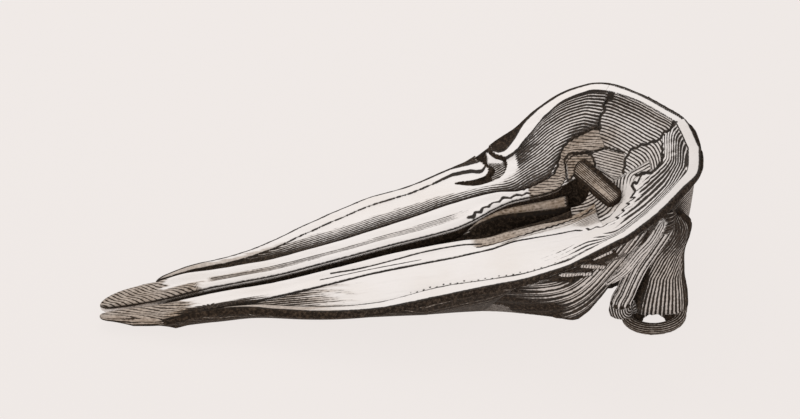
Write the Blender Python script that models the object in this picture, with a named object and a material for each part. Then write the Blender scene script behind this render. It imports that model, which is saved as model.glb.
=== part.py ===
"""Skull of a sperm whale, the cranium without its lower jaw, built bone by bone.

Metres, +Z up. The snout points to -X, the animal's left is -Y and its right +Y.
The skull stands on its palate and on the two ringed feet at the back.
"Run" is the distance back from the snout tip along the skull.
"""
import math

import bmesh
import bpy
import numpy as np
from mathutils import Matrix

# driving sizes of the whole skull
SKULL_LENGTH = 5.0
RIM_BAND = 0.11          # width of the flat margin that runs round the whole top
RIM_STEP = 0.022         # height of that margin over the plate inside it
RIM_EDGE = 0.035         # how far the margin's outer edge is rounded down
SUTURE_OVERLAP = 0.03    # how far a maxilla runs in under its premaxilla
PLATE_THICKNESS = 0.10   # upper jaw bones where they spread over the braincase
PREMAXILLA_DEPTH = 0.14
PREMAXILLA_LIP = 0.014   # height of the lip along its gutter
UNDERCUT = 0.774         # rise of the underside for each metre out from keel to margin
TIP_KEEL = 0.12          # half width of the snout's flat underside, and its rise beyond
TIP_UNDERCUT = 0.60
BASIN_START = 3.10       # run where the rostrum starts to open into the basin
BASIN_FULL = 3.45
SEAM = 0.0015            # how far a bone stands off the bone that it meets
HEADROOM = 0.20          # how far a cutter stands over the bone it makes room for
SLIVER = 0.0001          # edges shorter than this are closed up after a cut

# stations along a bone, one each this far
COARSE_STEP = 0.16
GUTTER_STEP = 0.17
FLANGE_STEP = 0.11
RIDGE_STEP = 0.20
FINE_STEP = 0.12
OUTLINE_STEP = 0.13

SHARP_ANGLE = math.radians(35)
BONE = (0.79, 0.73, 0.66, 1.0)
OLD_BONE = (0.62, 0.53, 0.43, 1.0)
DARK_BONE = (0.42, 0.34, 0.27, 1.0)

# margin of the skull from above: run, half width, height
MARGIN = (
    (0.50, 0.300, 0.155),
    (0.80, 0.330, 0.240),
    (1.15, 0.375, 0.270),
    (1.45, 0.475, 0.290),
    (1.75, 0.595, 0.335),
    (2.05, 0.690, 0.390),
    (2.35, 0.755, 0.455),
    (2.65, 0.775, 0.515),
    (2.95, 0.820, 0.600),
    (3.20, 0.870, 0.680),
    (3.40, 0.945, 0.770),
    (3.60, 1.000, 0.870),
    (3.80, 1.070, 1.000),
    (4.00, 1.090, 1.120),
    (4.20, 1.070, 1.200),
    (4.40, 0.970, 1.260),
    (4.60, 0.790, 1.280),
    (4.80, 0.550, 1.290),
    (4.93, 0.360, 1.290),
    (5.00, 0.000, 1.250),
)

# bones along the middle line: run, height
MIDLINE = (
    (0.00, 0.080),
    (0.50, 0.135),
    (1.00, 0.220),
    (1.50, 0.280),
    (2.00, 0.375),
    (2.50, 0.480),
    (3.00, 0.555),
    (3.40, 0.600),
    (3.85, 0.620),
    (4.10, 0.660),
    (4.30, 0.740),
    (4.50, 0.860),
    (4.70, 1.020),
    (4.85, 1.160),
    (4.93, 1.230),
    (5.00, 1.250),
)

# flat of the palate: run, half width, height
KEEL = (
    (0.50, 0.200, 0.070),
    (0.65, 0.180, 0.000),
    (0.95, 0.165, 0.000),
    (1.20, 0.170, 0.012),
    (1.75, 0.270, 0.020),
    (2.50, 0.325, 0.020),
    (3.00, 0.370, 0.022),
    (3.30, 0.420, 0.030),
    (3.66, 0.510, 0.060),
)

# right premaxilla: outer run, outer y, inner run, inner y
RIGHT_PREMAXILLA = (
    (0.02, 0.095, 0.02, 0.035),
    (0.12, 0.145, 0.12, 0.022),
    (0.30, 0.200, 0.30, 0.018),
    (0.50, 0.240, 0.50, 0.020),
    (0.95, 0.220, 0.95, 0.026),
    (1.30, 0.235, 1.30, 0.032),
    (1.75, 0.270, 1.75, 0.050),
    (2.20, 0.300, 2.20, 0.062),
    (2.60, 0.345, 2.60, 0.070),
    (2.95, 0.395, 2.95, 0.095),
    (3.15, 0.405, 3.12, 0.140),
    (3.35, 0.395, 3.32, 0.220),
    (3.55, 0.355, 3.50, 0.262),
    (3.72, 0.385, 3.70, 0.268),
    (3.84, 0.425, 3.85, 0.285),
    (3.90, 0.530, 3.93, 0.360),
    (3.95, 0.615, 3.95, 0.470),
    (4.06, 0.655, 4.03, 0.520),
    (4.24, 0.665, 4.27, 0.480),
)

LEFT_PREMAXILLA = (
    (0.00, -0.105, 0.00, -0.036),
    (0.12, -0.150, 0.12, -0.024),
    (0.30, -0.210, 0.30, -0.020),
    (0.50, -0.270, 0.50, -0.030),
    (0.82, -0.305, 0.82, -0.050),
    (1.20, -0.280, 1.20, -0.050),
    (1.65, -0.242, 1.65, -0.045),
    (2.10, -0.242, 2.10, -0.040),
    (2.60, -0.270, 2.60, -0.048),
    (3.00, -0.300, 3.00, -0.070),
    (3.20, -0.305, 3.20, -0.105),
    (3.42, -0.265, 3.42, -0.070),
    (3.65, -0.272, 3.65, -0.020),
    (3.90, -0.295, 3.92, 0.035),
    (4.00, -0.420, 4.05, 0.065),
    (4.12, -0.425, 4.13, 0.095),
)

# where a maxilla meets its neighbours: run and y of the margin, run and y of the suture
RIGHT_MAXILLA = (
    (0.50, 0.300, 0.50, 0.240),
    (0.80, 0.330, 0.80, 0.225),
    (1.15, 0.375, 1.15, 0.228),
    (1.45, 0.475, 1.45, 0.245),
    (1.75, 0.595, 1.75, 0.270),
    (2.05, 0.690, 2.05, 0.290),
    (2.35, 0.755, 2.35, 0.315),
    (2.65, 0.775, 2.65, 0.350),
    (2.95, 0.820, 2.95, 0.395),
    (3.20, 0.870, 3.20, 0.405),
    (3.40, 0.945, 3.38, 0.390),
    (3.60, 1.000, 3.55, 0.355),
    (3.80, 1.070, 3.76, 0.395),
    (4.00, 1.090, 3.90, 0.530),
    (4.20, 1.070, 4.04, 0.650),
    (4.40, 0.970, 4.24, 0.665),
)

LEFT_MAXILLA = (
    (0.50, -0.300, 0.50, -0.260),
    (0.80, -0.330, 0.80, -0.300),
    (1.15, -0.375, 1.15, -0.284),
    (1.45, -0.475, 1.45, -0.255),
    (1.75, -0.595, 1.75, -0.240),
    (2.05, -0.690, 2.05, -0.242),
    (2.35, -0.755, 2.35, -0.255),
    (2.65, -0.775, 2.65, -0.273),
    (2.95, -0.820, 2.95, -0.295),
    (3.20, -0.870, 3.20, -0.305),
    (3.40, -0.945, 3.40, -0.267),
    (3.60, -1.000, 3.60, -0.270),
    (3.80, -1.070, 3.80, -0.285),
    (4.00, -1.090, 3.93, -0.330),
    (4.20, -1.070, 4.10, -0.425),
    (4.40, -0.970, 4.22, -0.390),
    (4.60, -0.790, 4.34, -0.170),
    (4.80, -0.550, 4.42, -0.050),
    (4.93, -0.360, 4.48, 0.120),
    (4.985, -0.180, 4.58, 0.105),
    (5.00, 0.000, 4.66, 0.095),
    (4.985, 0.180, 4.70, 0.160),
    (4.93, 0.360, 4.72, 0.300),
)

# gutter between the premaxillae: run, left side, left lip, right lip, right side, its depth
GUTTER = (
    (0.90, -0.090, -0.030, 0.026, 0.086, 0.025),
    (1.30, -0.095, -0.035, 0.032, 0.095, 0.030),
    (2.00, -0.100, -0.040, 0.045, 0.105, 0.035),
    (2.90, -0.110, -0.055, 0.080, 0.130, 0.040),
    (3.15, -0.150, -0.065, 0.130, 0.190, 0.110),
    (3.40, -0.120, -0.005, 0.195, 0.270, 0.220),
    (3.70, -0.060, 0.055, 0.190, 0.300, 0.260),
    (3.93, -0.010, 0.110, 0.180, 0.310, 0.260),
)
VOMER_FOOT = 0.080       # half width of the strip of it that shows in the palate
GUTTER_RISE_START = 2.95
GUTTER_RISE_END = 3.20

# channel of the notch in front of the eye: run, half breadth from the middle, bore
NOTCH = (
    (3.33, 1.020, 0.060),
    (3.31, 0.880, 0.058),
    (3.36, 0.760, 0.052),
    (3.43, 0.670, 0.052),
    (3.38, 0.580, 0.048),
    (3.24, 0.560, 0.036),
    (3.06, 0.620, 0.014),
)
NOTCH_DEPTH = 0.012      # the channel's axis lies this far under the surface

# the basin's deepest point, from which the braincase is spun
BASIN_CENTRE_RUN = 3.95

# the standing foot on each side: run and half breadth of its middle
FOOT_RUN = 4.52
FOOT_BREADTH = 0.62
RING_ALONG = 0.215
RING_ACROSS = 0.185
RING_BAR = 0.056
RING_HEIGHT = 0.036      # of the bar's axis: what would lie below the ground is flat
FOOT_HOLE = (0.105, 0.125, 0.105)
FOOT_HOLE_HEIGHT = 0.03

# column over the foot: height, run, half breadth, half length, half depth
COLUMN = (
    (0.014, 4.565, 0.590, 0.235, 0.115),
    (0.120, 4.570, 0.590, 0.238, 0.125),
    (0.260, 4.580, 0.580, 0.222, 0.125),
    (0.450, 4.595, 0.570, 0.180, 0.120),
    (0.650, 4.600, 0.570, 0.172, 0.130),
    (0.860, 4.625, 0.600, 0.185, 0.150),
    (0.980, 4.640, 0.620, 0.180, 0.130),
    (1.100, 4.620, 0.630, 0.110, 0.070),
)
COLUMN_RINGS = 9
COLUMN_SIDES = 12

# bars in front of the column: run, half breadth, height, thickness
STRUT = (
    (4.640, 0.700, 1.180, 0.045),
    (4.573, 0.765, 1.060, 0.070),
    (4.480, 0.750, 0.884, 0.076),
    (4.372, 0.700, 0.639, 0.076),
    (4.278, 0.660, 0.347, 0.078),
    (4.240, 0.640, 0.210, 0.088),
    (4.240, 0.635, 0.110, 0.104),
)
THIN_STRUT = (
    (4.540, 0.790, 1.120, 0.030),
    (4.450, 0.840, 0.990, 0.036),
    (4.360, 0.820, 0.860, 0.036),
    (4.250, 0.760, 0.640, 0.034),
    (4.150, 0.680, 0.480, 0.030),
)

# fan-shaped flange below the margin: run, top breadth, top height, foot breadth, foot height
FLANGE = (
    (3.02, 0.700, 0.430, 0.375, 0.024),
    (3.30, 0.760, 0.520, 0.435, 0.030),
    (3.50, 0.800, 0.610, 0.495, 0.030),
    (3.70, 0.820, 0.680, 0.560, 0.028),
    (3.86, 0.815, 0.720, 0.620, 0.026),
    (3.96, 0.815, 0.750, 0.620, 0.090),
    (4.07, 0.815, 0.790, 0.600, 0.200),
    (4.17, 0.815, 0.830, 0.600, 0.345),
    (4.30, 0.810, 0.880, 0.640, 0.520),
)
FLANGE_THICKNESS = 0.22

# the recess between margin and flange, and the short bars across it
RECESS = (
    (3.60, 0.850, 0.690, 0.012),
    (3.75, 0.890, 0.760, 0.045),
    (3.92, 0.900, 0.850, 0.056),
    (4.08, 0.880, 0.910, 0.038),
    (4.18, 0.860, 0.950, 0.012),
)
RECESS_BAR_RUNS = (3.78, 3.88, 3.98)
RECESS_BAR_SLANT = 0.13
RECESS_BAR_THICKNESS = 0.013

# ridges on the floor of the skull: run, breadth from the middle, low edge
PTERYGOID_RIDGE = (
    (3.40, 0.290, 0.070),
    (3.65, 0.300, 0.045),
    (3.90, 0.290, 0.080),
    (4.05, 0.280, 0.200),
    (4.30, 0.300, 0.250),
    (4.60, 0.330, 0.200),
    (4.70, 0.300, 0.230),
)
RIDGE_TOP = 0.42

# it lies on the basin's slope: height of its face in the middle, and rise back and to the right
NASAL_BONE_ENDS = ((4.028, 0.425), (4.318, 0.000))
NASAL_BONE_WIDTH = 0.140
NASAL_BONE_TOP = 0.836
NASAL_BONE_SLOPE = (0.412, 0.493)
NASAL_BONE_FOOT = 0.600
NASAL_BONE_EDGE = 0.025

# the blowhole passage, from its mouth down: run, y, height, bore
NARIS = (
    (4.010, 0.230, 0.900, 0.115),
    (3.985, 0.215, 0.700, 0.110),
    (3.900, 0.170, 0.500, 0.090),
    (3.820, 0.130, 0.340, 0.060),
)

CONDYLE_RUN = 4.755
CONDYLE_BREADTH = 0.150
CONDYLE_HEIGHT = 0.470
CONDYLE_RADII = (0.100, 0.120, 0.175)
FORAMEN_RUN = 4.90
FORAMEN_HEIGHT = 0.640
FORAMEN_RADIUS = 0.090
FORAMEN_DEPTH = 0.30

# outer wall of the braincase: share of its drop, then how far in it has come across and behind
OUTER_WALL = (
    (0.16, 0.97, 0.985),
    (0.45, 0.76, 0.950),
    (0.75, 0.60, 0.835),
    (1.00, 0.48, 0.770),
)
WALL_FOOT = 0.25
BRAINCASE_FRONT = 3.32
UNDER_PLATE = 0.035      # the wall is set in this far where a maxilla covers its top
BASIN_SHARES = (0.22, 0.45, 0.68, 0.88)


def clear_scene():
    for thing in list(bpy.data.objects):
        bpy.data.objects.remove(thing, do_unlink=True)


def collection(name):
    group = bpy.data.collections.new(name)
    bpy.context.scene.collection.children.link(group)
    return group


def finish(name, colour, roughness):
    material = bpy.data.materials.new(name)
    material.use_nodes = True
    shader = material.node_tree.nodes["Principled BSDF"]
    shader.inputs["Base Color"].default_value = colour
    shader.inputs["Roughness"].default_value = roughness
    shader.inputs["Metallic"].default_value = 0.0
    return material


def smooth_curve(knots, values, at):
    """Values at the places `at`, on a curve through the knots that never overshoots them."""
    knots = np.asarray(knots, float)
    values = np.asarray(values, float)
    spans = np.diff(knots)
    slopes = np.diff(values) / spans
    tangents = np.zeros(len(knots))
    tangents[0] = slopes[0]
    tangents[-1] = slopes[-1]
    for i in range(1, len(knots) - 1):
        if slopes[i - 1] * slopes[i] > 0:
            before = 2 * spans[i] + spans[i - 1]
            after = spans[i] + 2 * spans[i - 1]
            tangents[i] = (before + after) / (before / slopes[i - 1] + after / slopes[i])
    at = np.clip(np.asarray(at, float), knots[0], knots[-1])
    piece = np.clip(np.searchsorted(knots, at) - 1, 0, len(spans) - 1)
    span = spans[piece]
    s = (at - knots[piece]) / span
    rise = (1 + 2 * s) * (1 - s) ** 2 * values[piece]
    rise += s * (1 - s) ** 2 * span * tangents[piece]
    rise += s * s * (3 - 2 * s) * values[piece + 1]
    rise += s * s * (s - 1) * span * tangents[piece + 1]
    return rise


def column_of(table, index):
    return [row[index] for row in table]


def smooth_rows(table, step, columns_for_length=(0, 1)):
    """The rows of a table drawn out into evenly spaced rows along its first columns."""
    rows = np.asarray(table, float)
    legs = np.diff(rows[:, list(columns_for_length)], axis=0)
    along = np.concatenate(([0.0], np.cumsum(np.linalg.norm(legs, axis=1))))
    count = max(int(round(along[-1] / step)), 4) + 1
    at = np.linspace(0.0, along[-1], count)
    return np.stack([smooth_curve(along, rows[:, i], at) for i in range(rows.shape[1])], axis=1)


def ease(low, high, value):
    share = min(max((value - low) / (high - low), 0.0), 1.0)
    return share * share * (3 - 2 * share)


def mix(a, b, share):
    return a + (b - a) * share


def margin_width(run):
    return float(smooth_curve(column_of(MARGIN, 0), column_of(MARGIN, 1), run))


def margin_height(run):
    return float(smooth_curve(column_of(MARGIN, 0), column_of(MARGIN, 2), run))


def midline_height(run):
    return float(smooth_curve(column_of(MIDLINE, 0), column_of(MIDLINE, 1), run))


def keel_width(run):
    return float(smooth_curve(column_of(KEEL, 0), column_of(KEEL, 1), run))


def keel_height(run):
    return float(smooth_curve(column_of(KEEL, 0), column_of(KEEL, 2), run))


def top_height(run, y):
    """Height of the upper surface: a low trough on the rostrum, a bowl in the basin."""
    inner = max(margin_width(run) - RIM_BAND, 0.02)
    share = min(abs(y) / inner, 1.0)
    hollow = mix(1.0, 1.15, ease(3.0, 3.8, run))
    low = midline_height(run)
    return low + (margin_height(run) - low) * share ** hollow


def premaxilla_foot(run, y):
    """Underside of a premaxilla: undercut at the tip, then bedded in the maxilla."""
    depth = mix(0.055, PREMAXILLA_DEPTH, ease(0.0, 0.45, run))
    depth = mix(depth, PLATE_THICKNESS, ease(BASIN_START, BASIN_FULL, run))
    undercut = (abs(y) - TIP_KEEL) * TIP_UNDERCUT * (1 - ease(0.45, 0.75, run))
    return max(top_height(run, y) - depth, undercut, 0.004)


def place(run, y, z):
    return (run - SKULL_LENGTH / 2, y, z)


def mesh_object(name, vertices, faces, group):
    mesh = bpy.data.meshes.new(name)
    mesh.from_pydata([tuple(v) for v in vertices], [], faces)
    tidy = bmesh.new()
    tidy.from_mesh(mesh)
    bmesh.ops.remove_doubles(tidy, verts=tidy.verts, dist=0.0001)
    bmesh.ops.recalc_face_normals(tidy, faces=tidy.faces)
    if tidy.calc_volume(signed=True) < 0:
        bmesh.ops.reverse_faces(tidy, faces=tidy.faces)
    tidy.to_mesh(mesh)
    tidy.free()
    body = bpy.data.objects.new(name, mesh)
    group.objects.link(body)
    return body


def loft(name, rings, group):
    """A closed solid through a row of rings with the same number of points each."""
    count = len(rings[0])
    vertices = [point for ring in rings for point in ring]
    faces = []
    for i in range(len(rings) - 1):
        for j in range(count):
            near = i * count + j
            next_near = i * count + (j + 1) % count
            faces.append((near, next_near, next_near + count))
            faces.append((near, next_near + count, near + count))
    faces.append(tuple(range(count)))
    last = (len(rings) - 1) * count
    faces.append(tuple(last + j for j in reversed(range(count))))
    return mesh_object(name, vertices, faces, group)


def swell(body, amount):
    """Moves every face of a cutter outwards, so that the cut stands off the bone."""
    shell = bmesh.new()
    shell.from_mesh(body.data)
    shell.normal_update()
    moved = [vertex.co + vertex.normal * amount for vertex in shell.verts]
    for vertex, spot in zip(shell.verts, moved):
        vertex.co = spot
    shell.to_mesh(body.data)
    shell.free()
    return body


def as_cutter(body):
    body.hide_render = True
    body.display_type = "WIRE"
    return body


def boolean(body, other, operation):
    change = body.modifiers.new(operation.lower() + "_" + other.name, "BOOLEAN")
    change.operation = operation
    change.object = other
    change.solver = "EXACT"


def settle(body):
    """Replaces an object's mesh by its evaluated one and drops what is cut loose from it."""
    graph = bpy.context.evaluated_depsgraph_get()
    mesh = bpy.data.meshes.new_from_object(body.evaluated_get(graph))
    body.modifiers.clear()
    old = body.data
    body.data = mesh
    bpy.data.meshes.remove(old)
    mesh.name = body.name
    keep_largest(mesh)
    return body


def keep_largest(mesh):
    """Drops every island of faces but the largest, where two faces join along an edge."""
    solid = bmesh.new()
    solid.from_mesh(mesh)
    bmesh.ops.dissolve_degenerate(solid, dist=SLIVER, edges=solid.edges)
    bmesh.ops.triangulate(solid, faces=solid.faces)
    islands = []
    seen = set()
    for start in solid.faces:
        if start in seen:
            continue
        island = [start]
        seen.add(start)
        for face in island:
            for edge in face.edges:
                for other in edge.link_faces:
                    if other not in seen:
                        seen.add(other)
                        island.append(other)
        islands.append(island)
    islands.sort(key=len)
    for island in islands[:-1]:
        bmesh.ops.delete(solid, geom=island, context="FACES")
    solid.to_mesh(mesh)
    solid.free()


def maxilla_ring(row, lift):
    """Section of an upper jaw bone, from its margin in to its suture and back below."""
    rim_run, rim_y, suture_run, suture_y = row
    rim = np.array((rim_run, rim_y))
    suture = np.array((suture_run, suture_y))
    breadth = float(np.linalg.norm(suture - rim))
    inward = (suture - rim) / breadth
    side = 1.0 if inward[1] < 0 else -1.0
    rear = abs(rim_y) < 0.5 and rim_run > 4.0
    basin = 1.0 if rear else ease(BASIN_START, BASIN_FULL, rim_run)
    high = margin_height(rim_run)
    band = min(RIM_BAND, 0.40 * breadth)
    step = RIM_STEP * min(breadth / 0.4, 1.0)

    ring = [
        (*rim, high - RIM_EDGE),
        (*(rim + inward * band * 0.3), high + lift),
        (*(rim + inward * band), high + lift),
    ]
    for share in (0.10, 0.40, 0.70, 1.0):
        spot = rim + inward * mix(band * 1.35, breadth, share)
        sunk = step * (1 - share) ** 0.5
        ring.append((*spot, top_height(*spot) - sunk + lift))
    overlap = SUTURE_OVERLAP * (1 - ease(4.25, 4.35, rim_run))
    inner = suture + inward * overlap
    edge = top_height(*inner)
    ring.append((*inner, edge - 0.02 + lift))

    under_jaw = jaw_underside(rim_run, rim_y, side, edge)
    under_plate = [(*inner, edge - PLATE_THICKNESS * 0.5), (*inner, edge - PLATE_THICKNESS)]
    for share in (0.30, 0.65):
        spot = mix(suture, rim, share)
        under_plate.append((*spot, top_height(*spot) - PLATE_THICKNESS - step))
    under_plate.append((*(rim + inward * 0.02), high - PLATE_THICKNESS - 0.03))
    for below, under in zip(under_jaw, under_plate):
        ring.append(tuple(mix(np.array(below), np.array(under), basin)))
    return [place(*point) for point in ring]


def jaw_underside(run, rim_y, side, edge):
    """Lower points of a section on the rostrum: vomer side, flat palate, sloping cheek."""
    keel = keel_width(run)
    floor = keel_height(run)
    high = margin_height(run)
    lip = max((abs(rim_y) - keel) * UNDERCUT + floor, high - 0.15)
    lip = min(lip, high - 0.07)
    root = side * mix(0.20, 0.07, ease(0.5, 0.8, run))
    bed = min(premaxilla_foot(run, root) + 0.03, edge - 0.03)
    return (
        (run, root, bed),
        (run, root, floor),
        (run, side * keel, floor),
        (run, side * mix(keel, abs(rim_y), 0.5), mix(floor, lip, 0.52)),
        (run, rim_y - side * 0.012, lip),
    )


def maxilla(name, table, group, lift=0.0):
    rows = smooth_rows(table, COARSE_STEP)
    return loft(name, [maxilla_ring(row, lift) for row in rows], group)


def premaxilla_ring(row, lift):
    """Section of a premaxilla: a lip by the gutter, a low channel, a lip by the suture."""
    outer = np.array(row[:2])
    inner = np.array(row[2:])
    breadth = float(np.linalg.norm(outer - inner))
    lip = PREMAXILLA_LIP * min(breadth / 0.2, 1.0)
    profile = ((0.0, -0.3), (0.22, 1.0), (0.55, -0.4), (0.85, 0.4), (1.0, 0.0))
    ring = []
    for share, rise in profile:
        spot = mix(inner, outer, share)
        ring.append((*spot, top_height(*spot) + rise * lip + lift))
    for share in (1.0, 0.5, 0.0):
        spot = mix(inner, outer, share)
        ring.append((*spot, premaxilla_foot(*spot)))
    return [place(*point) for point in ring]


def premaxilla(name, table, group, lift=0.0):
    rows = smooth_rows(table, COARSE_STEP)
    return loft(name, [premaxilla_ring(row, lift) for row in rows], group)


def gutter_ring(row, lift):
    """Section of the vomer: a gutter that is low between the premaxillae, then comes up."""
    run, left, left_lip, right_lip, right, depth = row
    if lift:
        depth = 0.0
    rise = ease(GUTTER_RISE_START, GUTTER_RISE_END, run)
    middle = (left_lip + right_lip) / 2
    bedded = premaxilla_foot(run, 0.0) + 0.02
    top = mix(bedded, top_height(run, middle) - 0.02, rise)
    shoulder = max(mix(bedded - 0.02, top - 0.14, rise), keel_height(run) + 0.02)
    low = keel_height(run)
    outline = (
        (left, top + lift),
        (left_lip, top + lift),
        (mix(left_lip, middle, 0.35), top - depth + lift),
        (mix(right_lip, middle, 0.35), top - depth + lift),
        (right_lip, top + lift),
        (right, top + lift),
        (right, shoulder),
        (VOMER_FOOT, low + 0.004),
        (0.0, low + 0.012),
        (-VOMER_FOOT, low + 0.004),
        (left, shoulder),
    )
    return [place(run, y, z) for y, z in outline]


def gutter(name, group, lift=0.0):
    rows = smooth_rows(GUTTER, GUTTER_STEP)
    return loft(name, [gutter_ring(row, lift) for row in rows], group)


def mesh_of_curve(curve, group):
    """The curve's tube as a mesh object with its caps welded; the curve is removed."""
    graph = bpy.context.evaluated_depsgraph_get()
    graph.update()
    mesh = bpy.data.meshes.new_from_object(curve.evaluated_get(graph))
    tidy = bmesh.new()
    tidy.from_mesh(mesh)
    bmesh.ops.remove_doubles(tidy, verts=tidy.verts, dist=0.0001)
    bmesh.ops.recalc_face_normals(tidy, faces=tidy.faces)
    tidy.to_mesh(mesh)
    tidy.free()
    name = curve.name
    place_of_curve = curve.matrix_world.copy()
    bpy.data.objects.remove(curve, do_unlink=True)
    body = bpy.data.objects.new(name, mesh)
    body.matrix_world = place_of_curve
    group.objects.link(body)
    return body


def tube(name, route, side, resolution, group):
    """A bar of changing thickness along a route: run, half breadth, height, thickness."""
    rows = smooth_rows(route, FINE_STEP, (0, 1, 2))
    path = bpy.data.curves.new(name, "CURVE")
    path.dimensions = "3D"
    path.bevel_depth = 1.0
    path.bevel_resolution = resolution
    path.use_fill_caps = True
    spline = path.splines.new("POLY")
    spline.points.add(len(rows) - 1)
    for point, (run, breadth, height, thickness) in zip(spline.points, rows):
        point.co = (*place(run, side * breadth, height), 1.0)
        point.radius = thickness
    curve = bpy.data.objects.new(name, path)
    group.objects.link(curve)
    return mesh_of_curve(curve, group)


def column_rings(side):
    rings = []
    heights = np.linspace(COLUMN[0][0], COLUMN[-1][0], COLUMN_RINGS)
    columns = [smooth_curve(column_of(COLUMN, 0), column_of(COLUMN, i), heights) for i in range(5)]
    for height, run, breadth, half_long, half_deep in zip(*columns):
        ring = []
        for k in range(COLUMN_SIDES):
            turn = 2 * math.pi * k / COLUMN_SIDES
            spot_y = breadth + half_deep * math.sin(turn)
            ring.append(place(run + half_long * math.cos(turn), side * spot_y, height))
        rings.append(ring)
    return rings


def foot_ring(name, side, group):
    """The oval ring that each column stands on, flat where it meets the ground."""
    bpy.ops.mesh.primitive_torus_add(major_radius=RING_ALONG, minor_radius=RING_BAR,
                                     major_segments=18, minor_segments=8)
    body = bpy.context.object
    body.name = name
    for owner in list(body.users_collection):
        owner.objects.unlink(body)
    group.objects.link(body)
    body.data.transform(Matrix.Diagonal((1.0, RING_ACROSS / RING_ALONG, 1.0, 1.0)))
    body.data.transform(Matrix.Translation(place(FOOT_RUN, side * FOOT_BREADTH, RING_HEIGHT)))
    for vertex in body.data.vertices:
        vertex.co.z = max(vertex.co.z, 0.0)
    return body


def flange_rings(side):
    rings = []
    for run, top_y, top_z, foot_y, foot_z in smooth_rows(FLANGE, FLANGE_STEP):
        inner_y = foot_y - FLANGE_THICKNESS
        outline = (
            (top_y, top_z),
            (mix(top_y, foot_y, 0.45) + 0.015, mix(top_z, foot_z, 0.45)),
            (foot_y + 0.02, foot_z + 0.05),
            (foot_y - 0.03, foot_z),
            (inner_y, foot_z + 0.06),
            (inner_y, top_z - 0.02),
            (top_y - 0.15, top_z + 0.06),
        )
        rings.append([place(run, side * y, z) for y, z in outline])
    return rings


def ridge_rings(side):
    rings = []
    for run, breadth, low in smooth_rows(PTERYGOID_RIDGE, RIDGE_STEP):
        outline = (
            (breadth + 0.06, low + 0.05),
            (breadth, low),
            (breadth - 0.06, low + 0.05),
            (breadth - 0.11, RIDGE_TOP),
            (breadth + 0.11, RIDGE_TOP),
        )
        rings.append([place(run, side * y, z) for y, z in outline])
    return rings


def recess_bar(name, run, side, group):
    """A short bar that crosses the recess on a slant."""
    ends = []
    for shift in (-0.5, 0.0, 0.5):
        at = run + shift * RECESS_BAR_SLANT
        breadth = float(smooth_curve(column_of(RECESS, 0), column_of(RECESS, 1), at))
        height = float(smooth_curve(column_of(RECESS, 0), column_of(RECESS, 2), run))
        climb = shift * RECESS_BAR_SLANT
        ends.append((at, breadth + climb * 0.6, height + climb * 1.2, RECESS_BAR_THICKNESS))
    return tube(name, ends, side, 0, group)


def ellipsoid(name, centre, radii, group):
    ball = bmesh.new()
    bmesh.ops.create_uvsphere(ball, u_segments=14, v_segments=9, radius=1.0)
    bmesh.ops.scale(ball, vec=radii, verts=ball.verts)
    bmesh.ops.translate(ball, vec=place(*centre), verts=ball.verts)
    mesh = bpy.data.meshes.new(name)
    ball.to_mesh(mesh)
    ball.free()
    body = bpy.data.objects.new(name, mesh)
    group.objects.link(body)
    return body


def braincase_outline():
    """The outline of the braincase from above: run, y, height, and how far it is set in."""
    points = []
    for run in np.arange(BRAINCASE_FRONT, 4.36, OUTLINE_STEP):
        points.append((run, margin_width(run), margin_height(run), UNDER_PLATE))
    for run in (4.44, 4.56, 4.68, 4.80, 4.88, 4.93):
        points.append((run, margin_width(run), margin_height(run), 0.0))
    for run, y in ((4.985, 0.18), (5.00, 0.0), (4.985, -0.18), (4.93, -0.36)):
        points.append((run, y, margin_height(run), UNDER_PLATE))
    for run in (4.86, 4.78, 4.68, 4.56, 4.44):
        points.append((run, -margin_width(run), margin_height(run), UNDER_PLATE))
    for run in np.arange(4.31, BRAINCASE_FRONT - 0.02, -OUTLINE_STEP):
        points.append((run, -margin_width(run), margin_height(run), UNDER_PLATE))
    for y in (-0.60, -0.30, 0.0, 0.30, 0.60):
        points.append((BRAINCASE_FRONT, y, top_height(BRAINCASE_FRONT, y), 0.0))
    return points


def braincase_rings():
    """Rays from the deepest point of the basin, over the margin and down the outer wall."""
    centre = np.array((BASIN_CENTRE_RUN, 0.0))
    rays = []
    for run, y, height, inset in braincase_outline():
        reach = np.array((run, y)) - centre
        rim_reach = reach * (1 - inset / float(np.linalg.norm(reach)))
        back = ease(0.45, 0.85, reach[0])
        ray = []
        for share in BASIN_SHARES:
            spot = centre + reach * share
            ray.append((*spot, top_height(*spot)))
        ray.append((*(centre + rim_reach), height - 0.02 if inset else height))
        for share, across, behind in OUTER_WALL:
            along = behind if reach[0] > 0 else 1.0
            spot = centre + rim_reach * (along, mix(across, 0.97, back))
            ray.append((*spot, mix(height, WALL_FOOT, share)))
        rays.append(ray)
    return rays


def braincase_core(name, group):
    rays = braincase_rings()
    length = len(rays[0])
    vertices = [place(*point) for ray in rays for point in ray]
    top = len(vertices)
    vertices.append(place(BASIN_CENTRE_RUN, 0.0, midline_height(BASIN_CENTRE_RUN)))
    vertices.append(place(BASIN_CENTRE_RUN, 0.0, WALL_FOOT + 0.02))
    faces = []
    for i in range(len(rays)):
        near = i * length
        far = (i + 1) % len(rays) * length
        for j in range(length - 1):
            faces.append((near + j, far + j, far + j + 1, near + j + 1))
        faces.append((near, top, far))
        faces.append((near + length - 1, far + length - 1, top + 1))
    return mesh_object(name, vertices, faces, group)


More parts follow.
